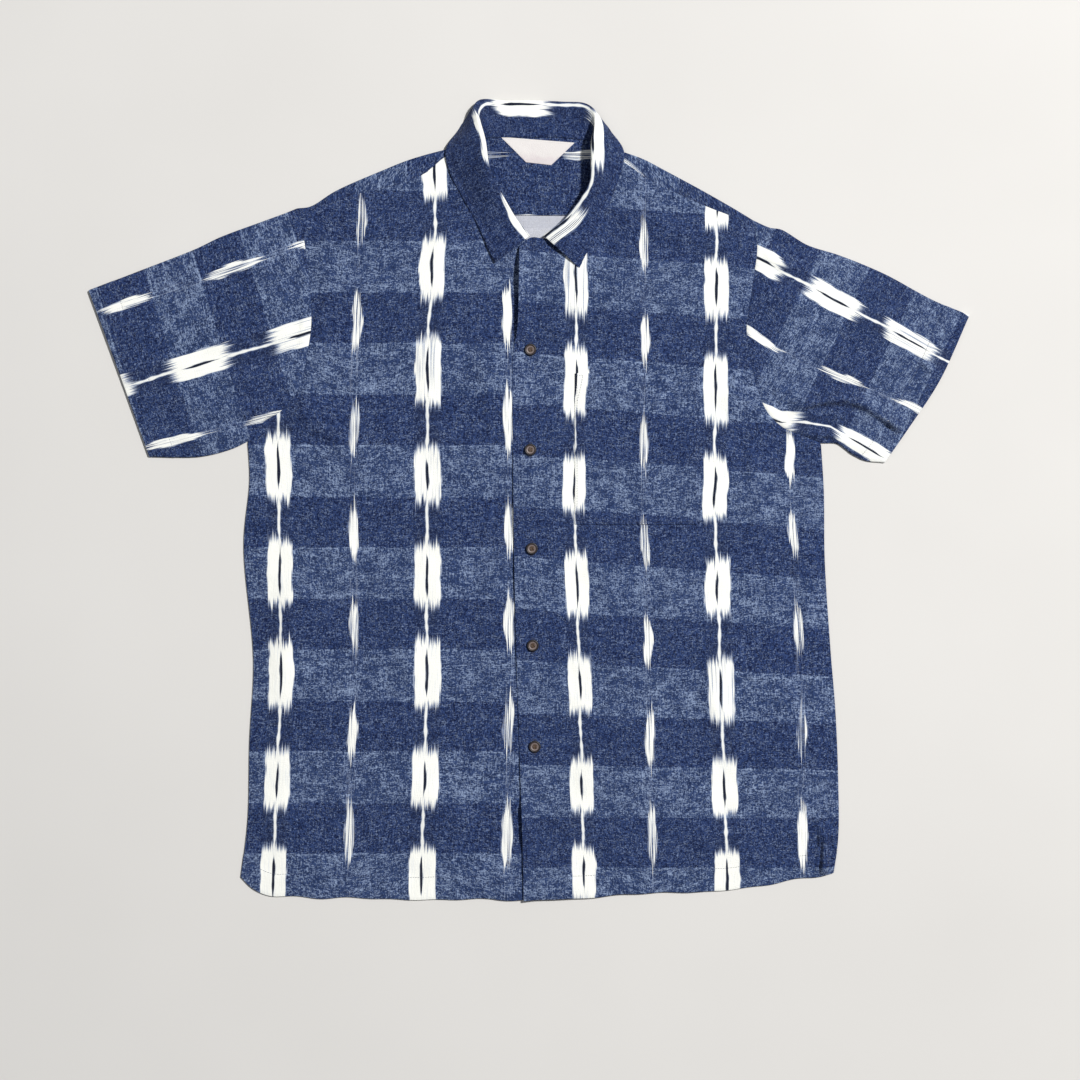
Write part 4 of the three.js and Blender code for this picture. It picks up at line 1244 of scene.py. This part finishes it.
right_cuff = edge((-395, 46, 3.2), (-428, 138, SHOULDER), (-458, 219, SHOULDER))
right_underarm = edge((-395, 46, 3.2), (-343, 46, 3.0), (-310, 54, 2.3), (-293, 62, SIDE))
right_upper_fold = level_edge(
    SHOULDER,
    (-458, 219), (-406, 239), (-347, 262), (-322, 274), (-279, 290), (-257, 298), (-242, 304),
)
left_cuff = edge((368, 40, 3.2), (393, 76, 3.5), (425, 125, SHOULDER), (456, 193, SHOULDER))
left_underarm = edge((302, 60, SIDE), (320, 59, 2.3), (335, 48, 2.8), (349, 42, 3.0), (368, 40, 3.2))
left_upper_fold = level_edge(
    SHOULDER,
    (231, 292), (249, 284), (261, 282), (288, 266), (322, 255), (368, 236), (418, 209), (456, 193),
)


def sleeve_top(bottom, top, left, right, cuff):
    across = steps(SLEEVE_LENGTH, SLEEVE_STEP, CUFF_DEPTH if cuff == "left" else SLEEVE_LENGTH - CUFF_DEPTH)
    up = np.linspace(0, 1, SLEEVE_ROWS)
    places = patch(bottom, top, left, right, across, up)
    u, v = across[None, :], up[:, None]
    places[..., 2] += SLEEVE_CROWN * np.sqrt(16 * u * (1 - u) * v * (1 - v))
    return places


armhole = stretch(armhole_right, 1, 0)
right_sleeve_top = sleeve_top(right_underarm, right_upper_fold, right_cuff, armhole, "left")
right_sleeve = sleeve(right_sleeve_top, RIGHT_SLEEVE_GRAIN, RIGHT_SLEEVE_CREASES, 37, "left", -1)
sewn_in("right_sleeve", [right_sleeve], "sleeve_right")
armhole = stretch(armhole_left, 1, 0)
left_sleeve_top = sleeve_top(left_underarm, left_upper_fold, armhole, left_cuff, "right")
left_sleeve = sleeve(left_sleeve_top, LEFT_SLEEVE_GRAIN, LEFT_SLEEVE_CREASES, 41, "right", 0)
sewn_in("left_sleeve", [left_sleeve], "sleeve_left")

# ---- Collar ---------------------------------------------------------------------------------------------
# A one-piece camp collar: two plies of the ikat with the columns along it, stiffened, turned out and
# topstitched near the edge. It stands up from the neck seam, rolls over and falls onto the shoulders and
# fronts, and at the back it lies down behind the neck.

COLLAR_WALL = 1.3 * MM
COLLAR_LOWEST = 1.07 * MM  # for the middle of its wall, clear of the table
COLLAR_EDGE_PLIES = 0.25 * MM  # what the seam turned in at the edge adds
COLLAR_GROOVE = 0.4
COLLAR_RUMPLE = 0.7
ROLL_TENSION = 0.6  # how full the roll is
LANDING = 0.3  # how steeply the free edge comes down, as a part of the fall's own slope
COLLAR_STITCH = 5.5  # from the free edge
COLLAR_SECTIONS = [
    ((-4, 274.5, 4.2), (-1, 275, 7.5), (-36, 248, 6.4)),
    ((-17.5, 287, 4.2), (-15, 292, 12), (-43, 262, 6.4)),
    ((-32, 305, 4.2), (-28, 313, 17), (-54, 287, 6.2)),
    ((-44.5, 325.5, 4.2), (-40.5, 333, 21), (-71, 318, 6.2)),
    ((-53, 346, 4.2), (-45, 352.5, 23), (-83, 342, 6.4)),
    ((-56.5, 365, 4.0), (-48, 374, 23), (-87, 364, 6.2)),
    ((-52, 374.5, 3.3), (-54, 396, 18), (-74, 385, 0.9)),
    ((-46.5, 376.5, 3.1), (-57, 407, 13), (-65, 397, 0.9)),
    ((-40.5, 377.8, 3.0), (-51, 415, 8), (-50, 391, 0.9)),
    ((-21, 378.2, 3.0), (-24, 415, 5.5), (-22, 383, 0.9)),
    ((3, 378.2, 3.0), (3, 415, 5.5), (3, 382, 0.9)),
    ((31, 378.2, 3.0), (33, 413, 5.5), (31, 383, 0.9)),
    ((55, 375.5, 3.0), (57, 411, 8), (56, 390, 0.9)),
    ((62.5, 374.5, 3.1), (66, 403, 13), (74, 394, 0.9)),
    ((68.5, 373, 3.3), (67.5, 392, 18), (85, 382, 0.9)),
    ((73.5, 364, 4.0), (65, 372.5, 23), (97, 362, 6.2)),
    ((72, 344, 4.2), (65, 351.5, 23), (94, 342, 6.4)),
    ((67, 323.5, 4.2), (63.5, 330, 21), (85, 317, 6.2)),
    ((53.5, 301.5, 4.2), (52, 310, 17), (72, 285, 6.2)),
    ((34, 283.5, 5.1), (35.5, 291, 12), (61, 261, 6.6)),
    ((17, 273.5, 6.0), (14.5, 275, 8), (51, 242, 6.8)),
]
# Where the white dashes lie along the collar's length, from the middle of the back, and how far the
# column is from the roll, towards the free edge.
DASHES_ALONG = ((-300, -198, -100, -21, 96, 203, 305), (-318, -212, -106, 0, 106, 212, 318))
COLUMN_FROM_ROLL = ((-230, -150, -60, 0, 60, 150, 230), (-5, -12, -6, -4, -2, 1, 3))


def between(start, leaving, end, arriving, t):
    """A place between two ends that leaves and arrives in the given directions."""
    return (
        start * (1 + 2 * t) * (1 - t) ** 2
        + leaving * t * (1 - t) ** 2
        + end * t * t * (3 - 2 * t)
        + arriving * t * t * (t - 1)
    )


collar_curves = [edge(*(section[k] for section in COLLAR_SECTIONS)) for k in range(3)]
collar_shares = np.linspace(0, 1, 181)
seam_line, roll_line, tip_line = (reach(curve, collar_shares) for curve in collar_curves)
stand, fall = roll_line - seam_line, tip_line - roll_line
over = unit(tip_line - seam_line)
stand_bend = over * ROLL_TENSION * np.linalg.norm(stand, axis=1, keepdims=True)
fall_bend = over * ROLL_TENSION * np.linalg.norm(fall, axis=1, keepdims=True)
landing = fall * np.array([1, 1, LANDING])
stand_rows = [between(seam_line, stand, roll_line, stand_bend, t) for t in np.linspace(0, 1, 13)[:-1]]
fall_rows = [between(roll_line, fall_bend, tip_line, landing, t) for t in np.linspace(0, 1, 23)]
collar_places = np.array(stand_rows + fall_rows)
down_fall = np.clip(np.arange(len(collar_places)) - len(stand_rows), 0, None) / (len(fall_rows) - 1)
open_ends = smooth(collar_shares, 0.09, 0) * 2.0 + smooth(collar_shares, 0.90, 1) * 5.0
collar_places[..., 2] += np.sin(down_fall * math.pi)[:, None] ** 0.7 * open_ends * MM
from_seam = depth_from(collar_places, "bottom") / MM
from_roll = from_seam - from_seam[len(stand_rows)]
along_roll = depth_from(roll_line[:, None], "bottom")[:, 0] / MM
middle_back = np.interp(0.5, collar_shares, along_roll)
along_roll = np.broadcast_to(along_roll - middle_back, from_roll.shape)
collar_u = from_roll - np.interp(along_roll, *COLUMN_FROM_ROLL)
collar_warp = np.stack([collar_u, np.interp(along_roll, *DASHES_ALONG)], axis=-1) * MM
collar_weft = np.stack([collar_u, np.full(collar_u.shape, BAND_REPEAT / 2)], axis=-1) * MM
from_tip = depth_from(collar_places, "top") / MM
collar_wall = COLLAR_WALL + COLLAR_EDGE_PLIES * smooth(from_tip, COLLAR_STITCH + 0.6, COLLAR_STITCH - 1.2)
edge_waves = uneven_wave(along_roll, 0.55, 1.8, 0.13) * PUCKER_HEIGHT * smooth(from_tip, 0, 2)
edge_waves *= smooth(from_tip, 14, 6)
groove = COLLAR_GROOVE * stitched_groove(from_tip, COLLAR_STITCH)
fall_part = smooth(down_fall, 0.2, 0.5)[:, None]
collar_places[..., 2] += (edge_waves - groove) * fall_part * MM
rumpled_part = (smooth(down_fall, 0.1, 0.4) * smooth(down_fall, 1, 0.75))[:, None]
collar_places[..., 2] += rumple(collar_places, 53, COLLAR_RUMPLE) * rumpled_part
collar_places[..., 2] = np.maximum(collar_places[..., 2], COLLAR_LOWEST)
collar_sheet = Sheet(collar_places, collar_warp, collar_weft, collar_wall)
sewn_in(
    "camp_collar", [collar_sheet], "collar",
    finishes=(deep_ikat, deep_ikat),
)

# ---- Pocket ---------------------------------------------------------------------------------------------
# A square patch pocket on the wearer's left, cut to match the front's pattern. Its top is hemmed, and its
# other edges are turned under and topstitched, with a narrow triangle at each upper corner.

pocket_box = [np.array(corner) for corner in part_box("pocket")]
POCKET_HEM = 30.0  # depth of the hem at the top
POCKET_STITCH = 1.8  # from the edge
POCKET_STEP = 2.6
POCKET_EDGE_PLIES = 0.3 * MM  # what the cloth turned under at the edges adds
POCKET_LIFT = 0.25 * MM  # between the pocket and the front


def top_of(piece):
    """A search tree for heights on a piece."""
    places = [vertex.co for vertex in piece.data.vertices]
    return BVHTree.FromPolygons(places, [polygon.vertices[:] for polygon in piece.data.polygons])


def lying_on(tree, x, y):
    """Place and normal straight under a point, on a piece."""
    place, normal, _, _ = tree.ray_cast(Vector((x, y, 0.1)), Vector((0, 0, -1)))
    return place, normal


front_top = top_of(front_left)
pocket_size = pocket_box[1] - pocket_box[0]
pocket_x = pocket_box[0][0] + pocket_size[0] * steps(127, POCKET_STEP, POCKET_STITCH)
pocket_y = pocket_box[0][1] + pocket_size[1] * steps(156, POCKET_STEP, POCKET_STITCH)
pocket_places = np.array([[lying_on(front_top, x, y)[0] for x in pocket_x] for y in pocket_y])
pocket_places[..., 2] += WALL / 2 + POCKET_LIFT
pocket_warp, pocket_weft = body_grain(pocket_places, LEFT_GRAIN)
pocket_warp = pocket_warp + np.array([0.9, -1.2]) * MM
pocket_weft = pocket_weft + np.array([0.0, -1.2]) * MM
pocket_edges = np.minimum.reduce([depth_from(pocket_places, side) for side in ("left", "right", "bottom")])
pocket_hem = depth_from(pocket_places, "top")
turned_under = smooth(pocket_edges, 10 * MM, 8 * MM)
hemmed = smooth(pocket_hem, POCKET_HEM * MM, (POCKET_HEM - HEM_FADE) * MM)
pocket_wall = WALL + POCKET_EDGE_PLIES * np.maximum(turned_under, hemmed)
pocket_places[..., 2] += (pocket_wall - WALL) / 2
across_pocket = np.clip((pocket_places[..., 0] - pocket_x[0]) / (pocket_x[-1] - pocket_x[0]), 0, 1)
pocket_places[..., 2] += 0.5 * MM * smooth(pocket_hem, 40 * MM, 0) * np.sin(across_pocket * math.pi)
pocket_sheet = Sheet(pocket_places, pocket_warp, pocket_weft, pocket_wall)
pocket = sewn_in("chest_pocket", [pocket_sheet], "pocket")

# ---- Neck label -----------------------------------------------------------------------------------------
# A small woven label, plain, with slanted ends. It is sewn onto the inner yoke just below the neck seam.

LABEL_CORNERS = (((-4, 352), (22, 349)), ((-30, 378), (46, 372)))  # lower edge, then upper edge
LABEL_LIFT = 0.3 * MM
LABEL_WALL = 0.45 * MM
LABEL_WHITE = (0.80, 0.77, 0.76, 1)
LABEL_PINK = (0.70, 0.63, 0.65, 1)

label_weave = Finish("label_weave", Roughness=0.62, Specular_IOR_Level=0.35, Sheen_Weight=0.1)
across, upwards, _, _ = cloth_maps(label_weave)
twill = ((across * 1.6 + upwards * 0.9) * (2 * math.pi / 0.55)).sine()
ribs = (upwards * (2 * math.pi / 0.4)).sine()
label_cloud = label_weave.noise(across * 0.08, upwards * 0.08, detail=3.0)
lower_part = label_weave.rise(upwards + (label_cloud - 0.5) * 14, 13, 4)
label_colour = label_weave.blend(lower_part * 0.75, LABEL_WHITE, LABEL_PINK)
label_weave.feed("Base Color", label_weave.blend(twill * 0.12 + 0.14, label_colour, (0.5, 0.46, 0.47, 1)))
label_weave.bump(twill * 0.6 + ribs * 0.4, 0.00006)

label_rows, label_columns = np.linspace(0, 1, 25), np.linspace(0, 1, 49)
low, high = (np.array(row, float) for row in LABEL_CORNERS)
label_flat = np.array([
    [(low[0] * (1 - s) + low[1] * s) * (1 - t) + (high[0] * (1 - s) + high[1] * s) * t for s in label_columns]
    for t in label_rows
]) * MM
yoke_top = top_of(yoke_inner)
label_places = np.array([[lying_on(yoke_top, x, y)[0] for x, y in row] for row in label_flat])
label_places[..., 2] += LABEL_LIFT
label_s, label_t = np.meshgrid(label_columns, label_rows)
label_places[..., 2] += 0.45 * MM * np.sin(label_s * math.pi) * label_t * (1 - label_t) * 4
label_map = np.stack([label_flat[..., 0], label_t * 0.027], axis=-1)
label_sheet = Sheet(label_places, label_map, label_map, LABEL_WALL)
label = sewn_in(
    "neck_label", [label_sheet], "label",
    finishes=(label_weave, label_weave),
)

# ---- Buttons --------------------------------------------------------------------------------------------
# Five buttons turned from coconut shell, each with a near-black rim, a pale ring painted into its dish as a
# highlight, and four holes. They are sewn to the right front and come up through the buttonholes of the left
# one.

HOLE_RADIUS = 0.8
HOLE_FROM_MIDDLE = 1.35
BUTTON_LIFT = 0.5 * MM
BUTTON_PROFILE = (  # radius and height, from under the button up its rim and down into its dish
    (4.8, 0), (5.6, 0.12), (6.05, 0.5), (6.2, 1.1), (6.2, 1.6), (6.05, 2.15), (5.7, 2.5),
    (5.2, 2.6), (4.75, 2.5), (4.4, 2.2), (4.1, 1.85), (3.7, 1.68), (3.0, 1.62),
)
BUTTON_SEGMENTS = 48
BUTTON_TURNS = (7, -12, 4, 15, -6)  # degrees
BUTTON_LEANS = (1.5, -2.0, 1.0, 2.2, -1.2)

shell = Finish("coconut_shell", Roughness=0.42, Specular_IOR_Level=0.45, Coat_Weight=0.08, Coat_Roughness=0.3)
local_x, local_y, _ = shell.split(shell.value("ShaderNodeUVMap", {"uv_map": "face"}))
local_x, local_y = local_x * 1000, local_y * 1000
from_middle = (local_x * local_x + local_y * local_y).root()
fibre = shell.noise(local_x * 1.1, local_y * 0.22, scale=2.2, detail=4.0, roughness=0.7)
speck = shell.noise(local_x * 1.0 + 40, local_y * 1.0, scale=3.4, detail=2.0)
ring_wave = (fibre - 0.5) * 0.9
# A pale ring in the dish, painted as a highlight where the dish's slope would catch the light.
highlight_ring = shell.rise(from_middle + ring_wave, 2.3, 3.0) * shell.rise(from_middle + ring_wave, 4.5, 4.0)
body = shell.blend(fibre, (0.022, 0.011, 0.006, 1), (0.11, 0.052, 0.024, 1))
# Near black outside 4 mm from the middle: partly the shell's own dark rim, partly painted shadow round the
# button's edge.
body = shell.blend(shell.rise(from_middle, 3.9, 4.5) * 0.97, body, (0.006, 0.004, 0.006, 1))
painted_highlight_colour = shell.blend(fibre, (0.095, 0.072, 0.07, 1), (0.24, 0.195, 0.19, 1))
# The painted highlight ring is blended into the shell's colour here.
wear_and_painted_highlight = shell.blend(highlight_ring * 0.85, body, painted_highlight_colour)
shell.feed("Base Color", shell.blend(shell.rise(speck, 0.62, 0.74) * 0.5, wear_and_painted_highlight, (0.045, 0.028, 0.022, 1)))
shell.feed("Roughness", fibre * 0.25 + 0.32)
shell.bump(fibre * 0.6 + speck * 0.4, 0.00012)


def mesh_as_shown(item):
    """A mesh of an object with its modifiers applied."""
    return bpy.data.meshes.new_from_object(item.evaluated_get(bpy.context.evaluated_depsgraph_get()))


def turned_button():
    """One button at the origin, lathed and then drilled."""
    body = bmesh.new()
    turns = [2 * math.pi * k / BUTTON_SEGMENTS for k in range(BUTTON_SEGMENTS)]
    loops = []
    for radius, height in np.array(BUTTON_PROFILE) * MM:
        loops.append([body.verts.new((radius * math.cos(a), radius * math.sin(a), height)) for a in turns])
    for lower, upper in zip(loops, loops[1:]):
        for k in range(BUTTON_SEGMENTS):
            after = (k + 1) % BUTTON_SEGMENTS
            body.faces.new((lower[k], lower[after], upper[after], upper[k]))
    body.faces.new(loops[0][::-1])
    body.faces.new(loops[-1])
    blank_mesh = bpy.data.meshes.new("button_blank")
    body.to_mesh(blank_mesh)
    body.free()
    blank = placed("button_blank", blank_mesh)

    drill_mesh = bpy.data.meshes.new("drill")
    drills = bmesh.new()
    for side_x, side_y in ((-1, -1), (-1, 1), (1, -1), (1, 1)):
        middle = Vector((side_x * HOLE_FROM_MIDDLE * MM, side_y * HOLE_FROM_MIDDLE * MM, MM))
        bmesh.ops.create_cone(
            drills, cap_ends=True, segments=16, radius1=HOLE_RADIUS * MM, radius2=HOLE_RADIUS * MM,
            depth=6 * MM, matrix=Matrix.Translation(middle),
        )
    drills.to_mesh(drill_mesh)
    drills.free()
    drill = placed("drill", drill_mesh)
    cut = blank.modifiers.new("holes", "BOOLEAN")
    cut.object = drill
    cut.solver = "EXACT"
    drilled = mesh_as_shown(blank)
    for scrap in (blank, drill):
        bpy.data.objects.remove(scrap)
    local = drilled.uv_layers.new(name="face").data
    for loop in drilled.loops:
        co = drilled.vertices[loop.vertex_index].co
        local[loop.index].uv = (co.x, co.y)
    drilled.materials.clear()
    drilled.materials.append(shell.material)
    return drilled


button_mesh = turned_button()
button_places = []
for number, (turn_angle, lean_angle) in enumerate(zip(BUTTON_TURNS, BUTTON_LEANS), 1):
    node = f"button_{number}"
    low, high = (np.array(corner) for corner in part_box(node))
    x, y = (low[:2] + high[:2]) / 2
    seat = lying_on(front_top, x, y)[0]
    place = Vector((x, y, seat.z + BUTTON_LIFT))
    turn = Matrix.Rotation(math.radians(turn_angle), 4, "Z")
    lean = Matrix.Rotation(math.radians(lean_angle), 4, "X")
    button = placed(f"{node}_shell", button_mesh.copy())
    button.data.transform(Matrix.Translation(place) @ lean @ turn)
    for polygon in button.data.polygons:
        polygon.use_smooth = True
    button.data.set_sharp_from_angle(angle=math.radians(40))
    button_places.append((place, turn))
    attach(button, "root")
    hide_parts(node)

# ---- Stitching ------------------------------------------------------------------------------------------
# Lockstitch in navy cotton thread: the hems and cuffs, the yoke seams, the collar's edge and the pocket.
# Each stitch is a short strand that dips into the cloth at both ends. Buttonholes have close stitches
# across their rims, and each button is held by two bars of brown thread.

NAVY_THREAD = (0.016, 0.024, 0.062, 1)


def thread_of(name, colour, worn_colour):
    thread = Finish(name, Roughness=0.6, Specular_IOR_Level=0.3, Sheen_Weight=0.1)
    place = thread.value("ShaderNodeTexCoord", output=OBJECT_PLACE)
    twist = thread.value("ShaderNodeTexNoise", sockets={"Vector": place, "Scale": 2600.0, "Detail": 2.0})
    thread.feed("Base Color", thread.blend(twist, colour, worn_colour))
    thread.bump(twist, 0.00008)
    return thread.material


def stitch_tree():
    """Geometry nodes that lay stitches along lines which carry the cloth's own direction up."""
    tree = bpy.data.node_groups.new("row_of_stitches", "GeometryNodeTree")
    tree.interface.new_socket("Geometry", in_out="INPUT", socket_type="NodeSocketGeometry")
    for name in ("Spacing", "Length", "Thickness", "Turn"):
        tree.interface.new_socket(name, in_out="INPUT", socket_type="NodeSocketFloat")
    tree.interface.new_socket("Thread", in_out="INPUT", socket_type="NodeSocketMaterial")
    tree.interface.new_socket("Geometry", in_out="OUTPUT", socket_type="NodeSocketGeometry")

    def node(kind, settings=None, **links):
        made = tree.nodes.new(kind)
        for name, value in (settings or {}).items():
            setattr(made, name, value)
        for name, value in links.items():
            slot = made.inputs[int(name[1:])] if name[1:].isdigit() else made.inputs[name.replace("_", " ")]
            if isinstance(value, bpy.types.NodeSocket):
                tree.links.new(value, slot)
            else:
                slot.default_value = value
        return made.outputs

    given = node("NodeGroupInput")
    lines = node("GeometryNodeMeshToCurve", Mesh=given["Geometry"])
    by_length = {"mode": "LENGTH"}
    spaced = node("GeometryNodeResampleCurve", by_length, Curve=lines["Curve"], Length=given["Spacing"])
    tangent = node("GeometryNodeInputTangent")
    up = node("GeometryNodeInputNamedAttribute", {"data_type": "FLOAT_VECTOR"}, Name="up")
    facing = node(
        "FunctionNodeAxesToRotation", {"primary_axis": "Z", "secondary_axis": "X"},
        Primary_Axis=up["Attribute"], Secondary_Axis=tangent["Tangent"],
    )
    jitter = node(
        "FunctionNodeRandomValue", {"data_type": "FLOAT_VECTOR"},
        _0=(-0.04, -0.03, -0.06), _1=(0.04, 0.03, 0.06), Seed=4,
    )
    quarter = node("ShaderNodeCombineXYZ", Z=given["Turn"])
    turn = node("ShaderNodeVectorMath", {"operation": "ADD"}, _0=jitter[0], _1=quarter["Vector"])
    local = {"rotation_space": "LOCAL"}
    turned = node("FunctionNodeRotateRotation", local, Rotation=facing[0], Rotate_By=turn[0])
    half_length = node("ShaderNodeMath", {"operation": "MULTIPLY"}, _0=given["Length"], _1=0.5)
    half_wide = node("ShaderNodeMath", {"operation": "MULTIPLY"}, _0=given["Thickness"], _1=0.5)
    size = node("ShaderNodeCombineXYZ", X=half_length[0], Y=half_wide[0], Z=half_wide[0])
    ball = node("GeometryNodeMeshUVSphere", Segments=8, Rings=6, Radius=1.0)
    strand = node("GeometryNodeTransform", Geometry=ball["Mesh"], Rotation=(0.0, math.pi / 2, 0.0))
    strands = node(
        "GeometryNodeInstanceOnPoints", Points=spaced["Curve"], Instance=strand["Geometry"],
        Rotation=turned[0], Scale=size["Vector"],
    )
    real = node("GeometryNodeRealizeInstances", Geometry=strands["Instances"])
    soft = node("GeometryNodeSetShadeSmooth", Geometry=real["Geometry"])
    made_of = node("GeometryNodeSetMaterial", Geometry=soft["Geometry"], Material=given["Thread"])
    final = tree.nodes.new("NodeGroupOutput")
    tree.links.new(made_of["Geometry"], final.inputs["Geometry"])
    return tree


rows_of_stitches = stitch_tree()


def stitched(name, lines, thread, spacing=2.6, length=2.1, thickness=0.42, turn=0.0):
    """One piece of stitching along lines of places and normals, with its stitches in millimetres."""
    places, ups, edges = [], [], []
    for line, normals in lines:
        start = len(places)
        places += [tuple(place) for place in line]
        ups += [tuple(normal) for normal in normals]
        edges += [(k, k + 1) for k in range(start, len(places) - 1)]
    guide = bpy.data.meshes.new(name)
    guide.from_pydata(places, edges, [])
    guide.attributes.new("up", "FLOAT_VECTOR", "POINT").data.foreach_set("vector", np.array(ups).ravel())
    guides = placed(name, guide)
    sewing = guides.modifiers.new("stitches", "NODES")
    sewing.node_group = rows_of_stitches
    given = {"Spacing": spacing * MM, "Length": length * MM, "Thickness": thickness * MM}
    given.update({"Turn": turn, "Thread": thread})
    for socket in rows_of_stitches.interface.items_tree:
        if socket.name in given:
            sewing[socket.identifier] = given[socket.name]
    made = mesh_as_shown(guides)
    guides.modifiers.remove(sewing)
    guides.data = made
    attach(guides, "root")


def on_piece(tree, points, steps_between=12):
    """A line on a piece through points in millimetres, as places and normals."""
    places, normals = [], []
    for (x0, y0), (x1, y1) in zip(points, points[1:]):
        for t in np.linspace(0, 1, steps_between):
            place, normal = lying_on(tree, (x0 + (x1 - x0) * t) * MM, (y0 + (y1 - y0) * t) * MM)
            places.append(place)
            normals.append(normal)
    return places, normals


navy = thread_of("navy_thread", NAVY_THREAD, (0.036, 0.05, 0.115, 1))
brown = thread_of("brown_thread", (0.06, 0.04, 0.028, 1), (0.16, 0.115, 0.085, 1))
white_thread = thread_of("white_thread", (0.5, 0.48, 0.48, 1), (0.72, 0.7, 0.7, 1))

stitched(
    "hem_and_seam_stitching",
    [
        right_sheet.line("bottom", HEM_DEPTH),
        left_sheet.line("bottom", HEM_DEPTH),
        back_sheet.line("bottom", HEM_DEPTH, outside=-1),
        right_sleeve.line("left", CUFF_DEPTH, 0.05, 0.52),
        left_sleeve.line("right", CUFF_DEPTH, 0.05, 0.52),
        yoke_sheets[1].line("top", 2.0),
        yoke_sheets[2].line("top", 2.0),
        collar_sheet.line("top", COLLAR_STITCH),
    ],
    navy,
)

pocket_top = top_of(pocket)
left, bottom = pocket_box[0][:2] / MM + POCKET_STITCH
right, top = pocket_box[1][:2] / MM - POCKET_STITCH
TRIANGLE_WIDTH = 8.0 - POCKET_STITCH
TRIANGLE_DEPTH = 30.0 - POCKET_STITCH
pocket_lines = [on_piece(pocket_top, [(left, top), (left, bottom), (right, bottom), (right, top)], 60)]
for corner, inwards in ((left, 1), (right, -1)):
    triangle = [(corner, top - TRIANGLE_DEPTH), (corner + TRIANGLE_WIDTH * inwards, top), (corner, top)]
    pocket_lines.append(on_piece(pocket_top, triangle))
stitched("pocket_stitching", pocket_lines, navy)

label_top = top_of(label)
(foot_right, foot_left), (head_right, head_left) = LABEL_CORNERS
label_corners = [
    (head_right[0] + 2.4, head_right[1] - 1.4), (foot_right[0] + 0.6, foot_right[1] + 1.1),
    (foot_left[0] - 0.6, foot_left[1] + 1.1), (head_left[0] - 2.4, head_left[1] - 1.4),
]
label_line = on_piece(label_top, [*label_corners, label_corners[0]], 30)
stitched("label_stitching", [label_line], white_thread, spacing=1.9, length=1.5, thickness=0.3)

BUTTONHOLE_HALF = 7.6
RIM_OFF = 1.15
rims = []
bars = []
for place, turn in button_places:
    x, y = place.x / MM, place.y / MM
    for side in (-RIM_OFF, RIM_OFF):
        rim = [(x + side, y - BUTTONHOLE_HALF), (x + side, y + BUTTONHOLE_HALF)]
        rims.append(on_piece(front_top, rim, 30))
    for end in (-BUTTONHOLE_HALF, BUTTONHOLE_HALF):
        rims.append(on_piece(front_top, [(x - RIM_OFF, y + end), (x + RIM_OFF, y + end)], 4))
    for side in (-1, 1):
        for strand in (-0.28, 0.0, 0.28):
            points, ups = [], []
            for t in np.linspace(-1, 1, 13):
                reach_y = t * (HOLE_FROM_MIDDLE + 0.25)
                arch = 1.6 + 0.75 * (1 - abs(t) ** 4) - 0.9 * abs(t) ** 6
                local = Vector(((side * HOLE_FROM_MIDDLE + strand) * MM, reach_y * MM, arch * MM))
                points.append(place + turn @ local)
                ups.append(Vector((0, 0, 1)))
            bars.append((points, ups))
stitched("buttonhole_stitching", rims, navy, 0.55, 1.9, 0.45, turn=math.pi / 2)
stitched("button_threads", bars, brown, 0.35, 0.75, 0.36)
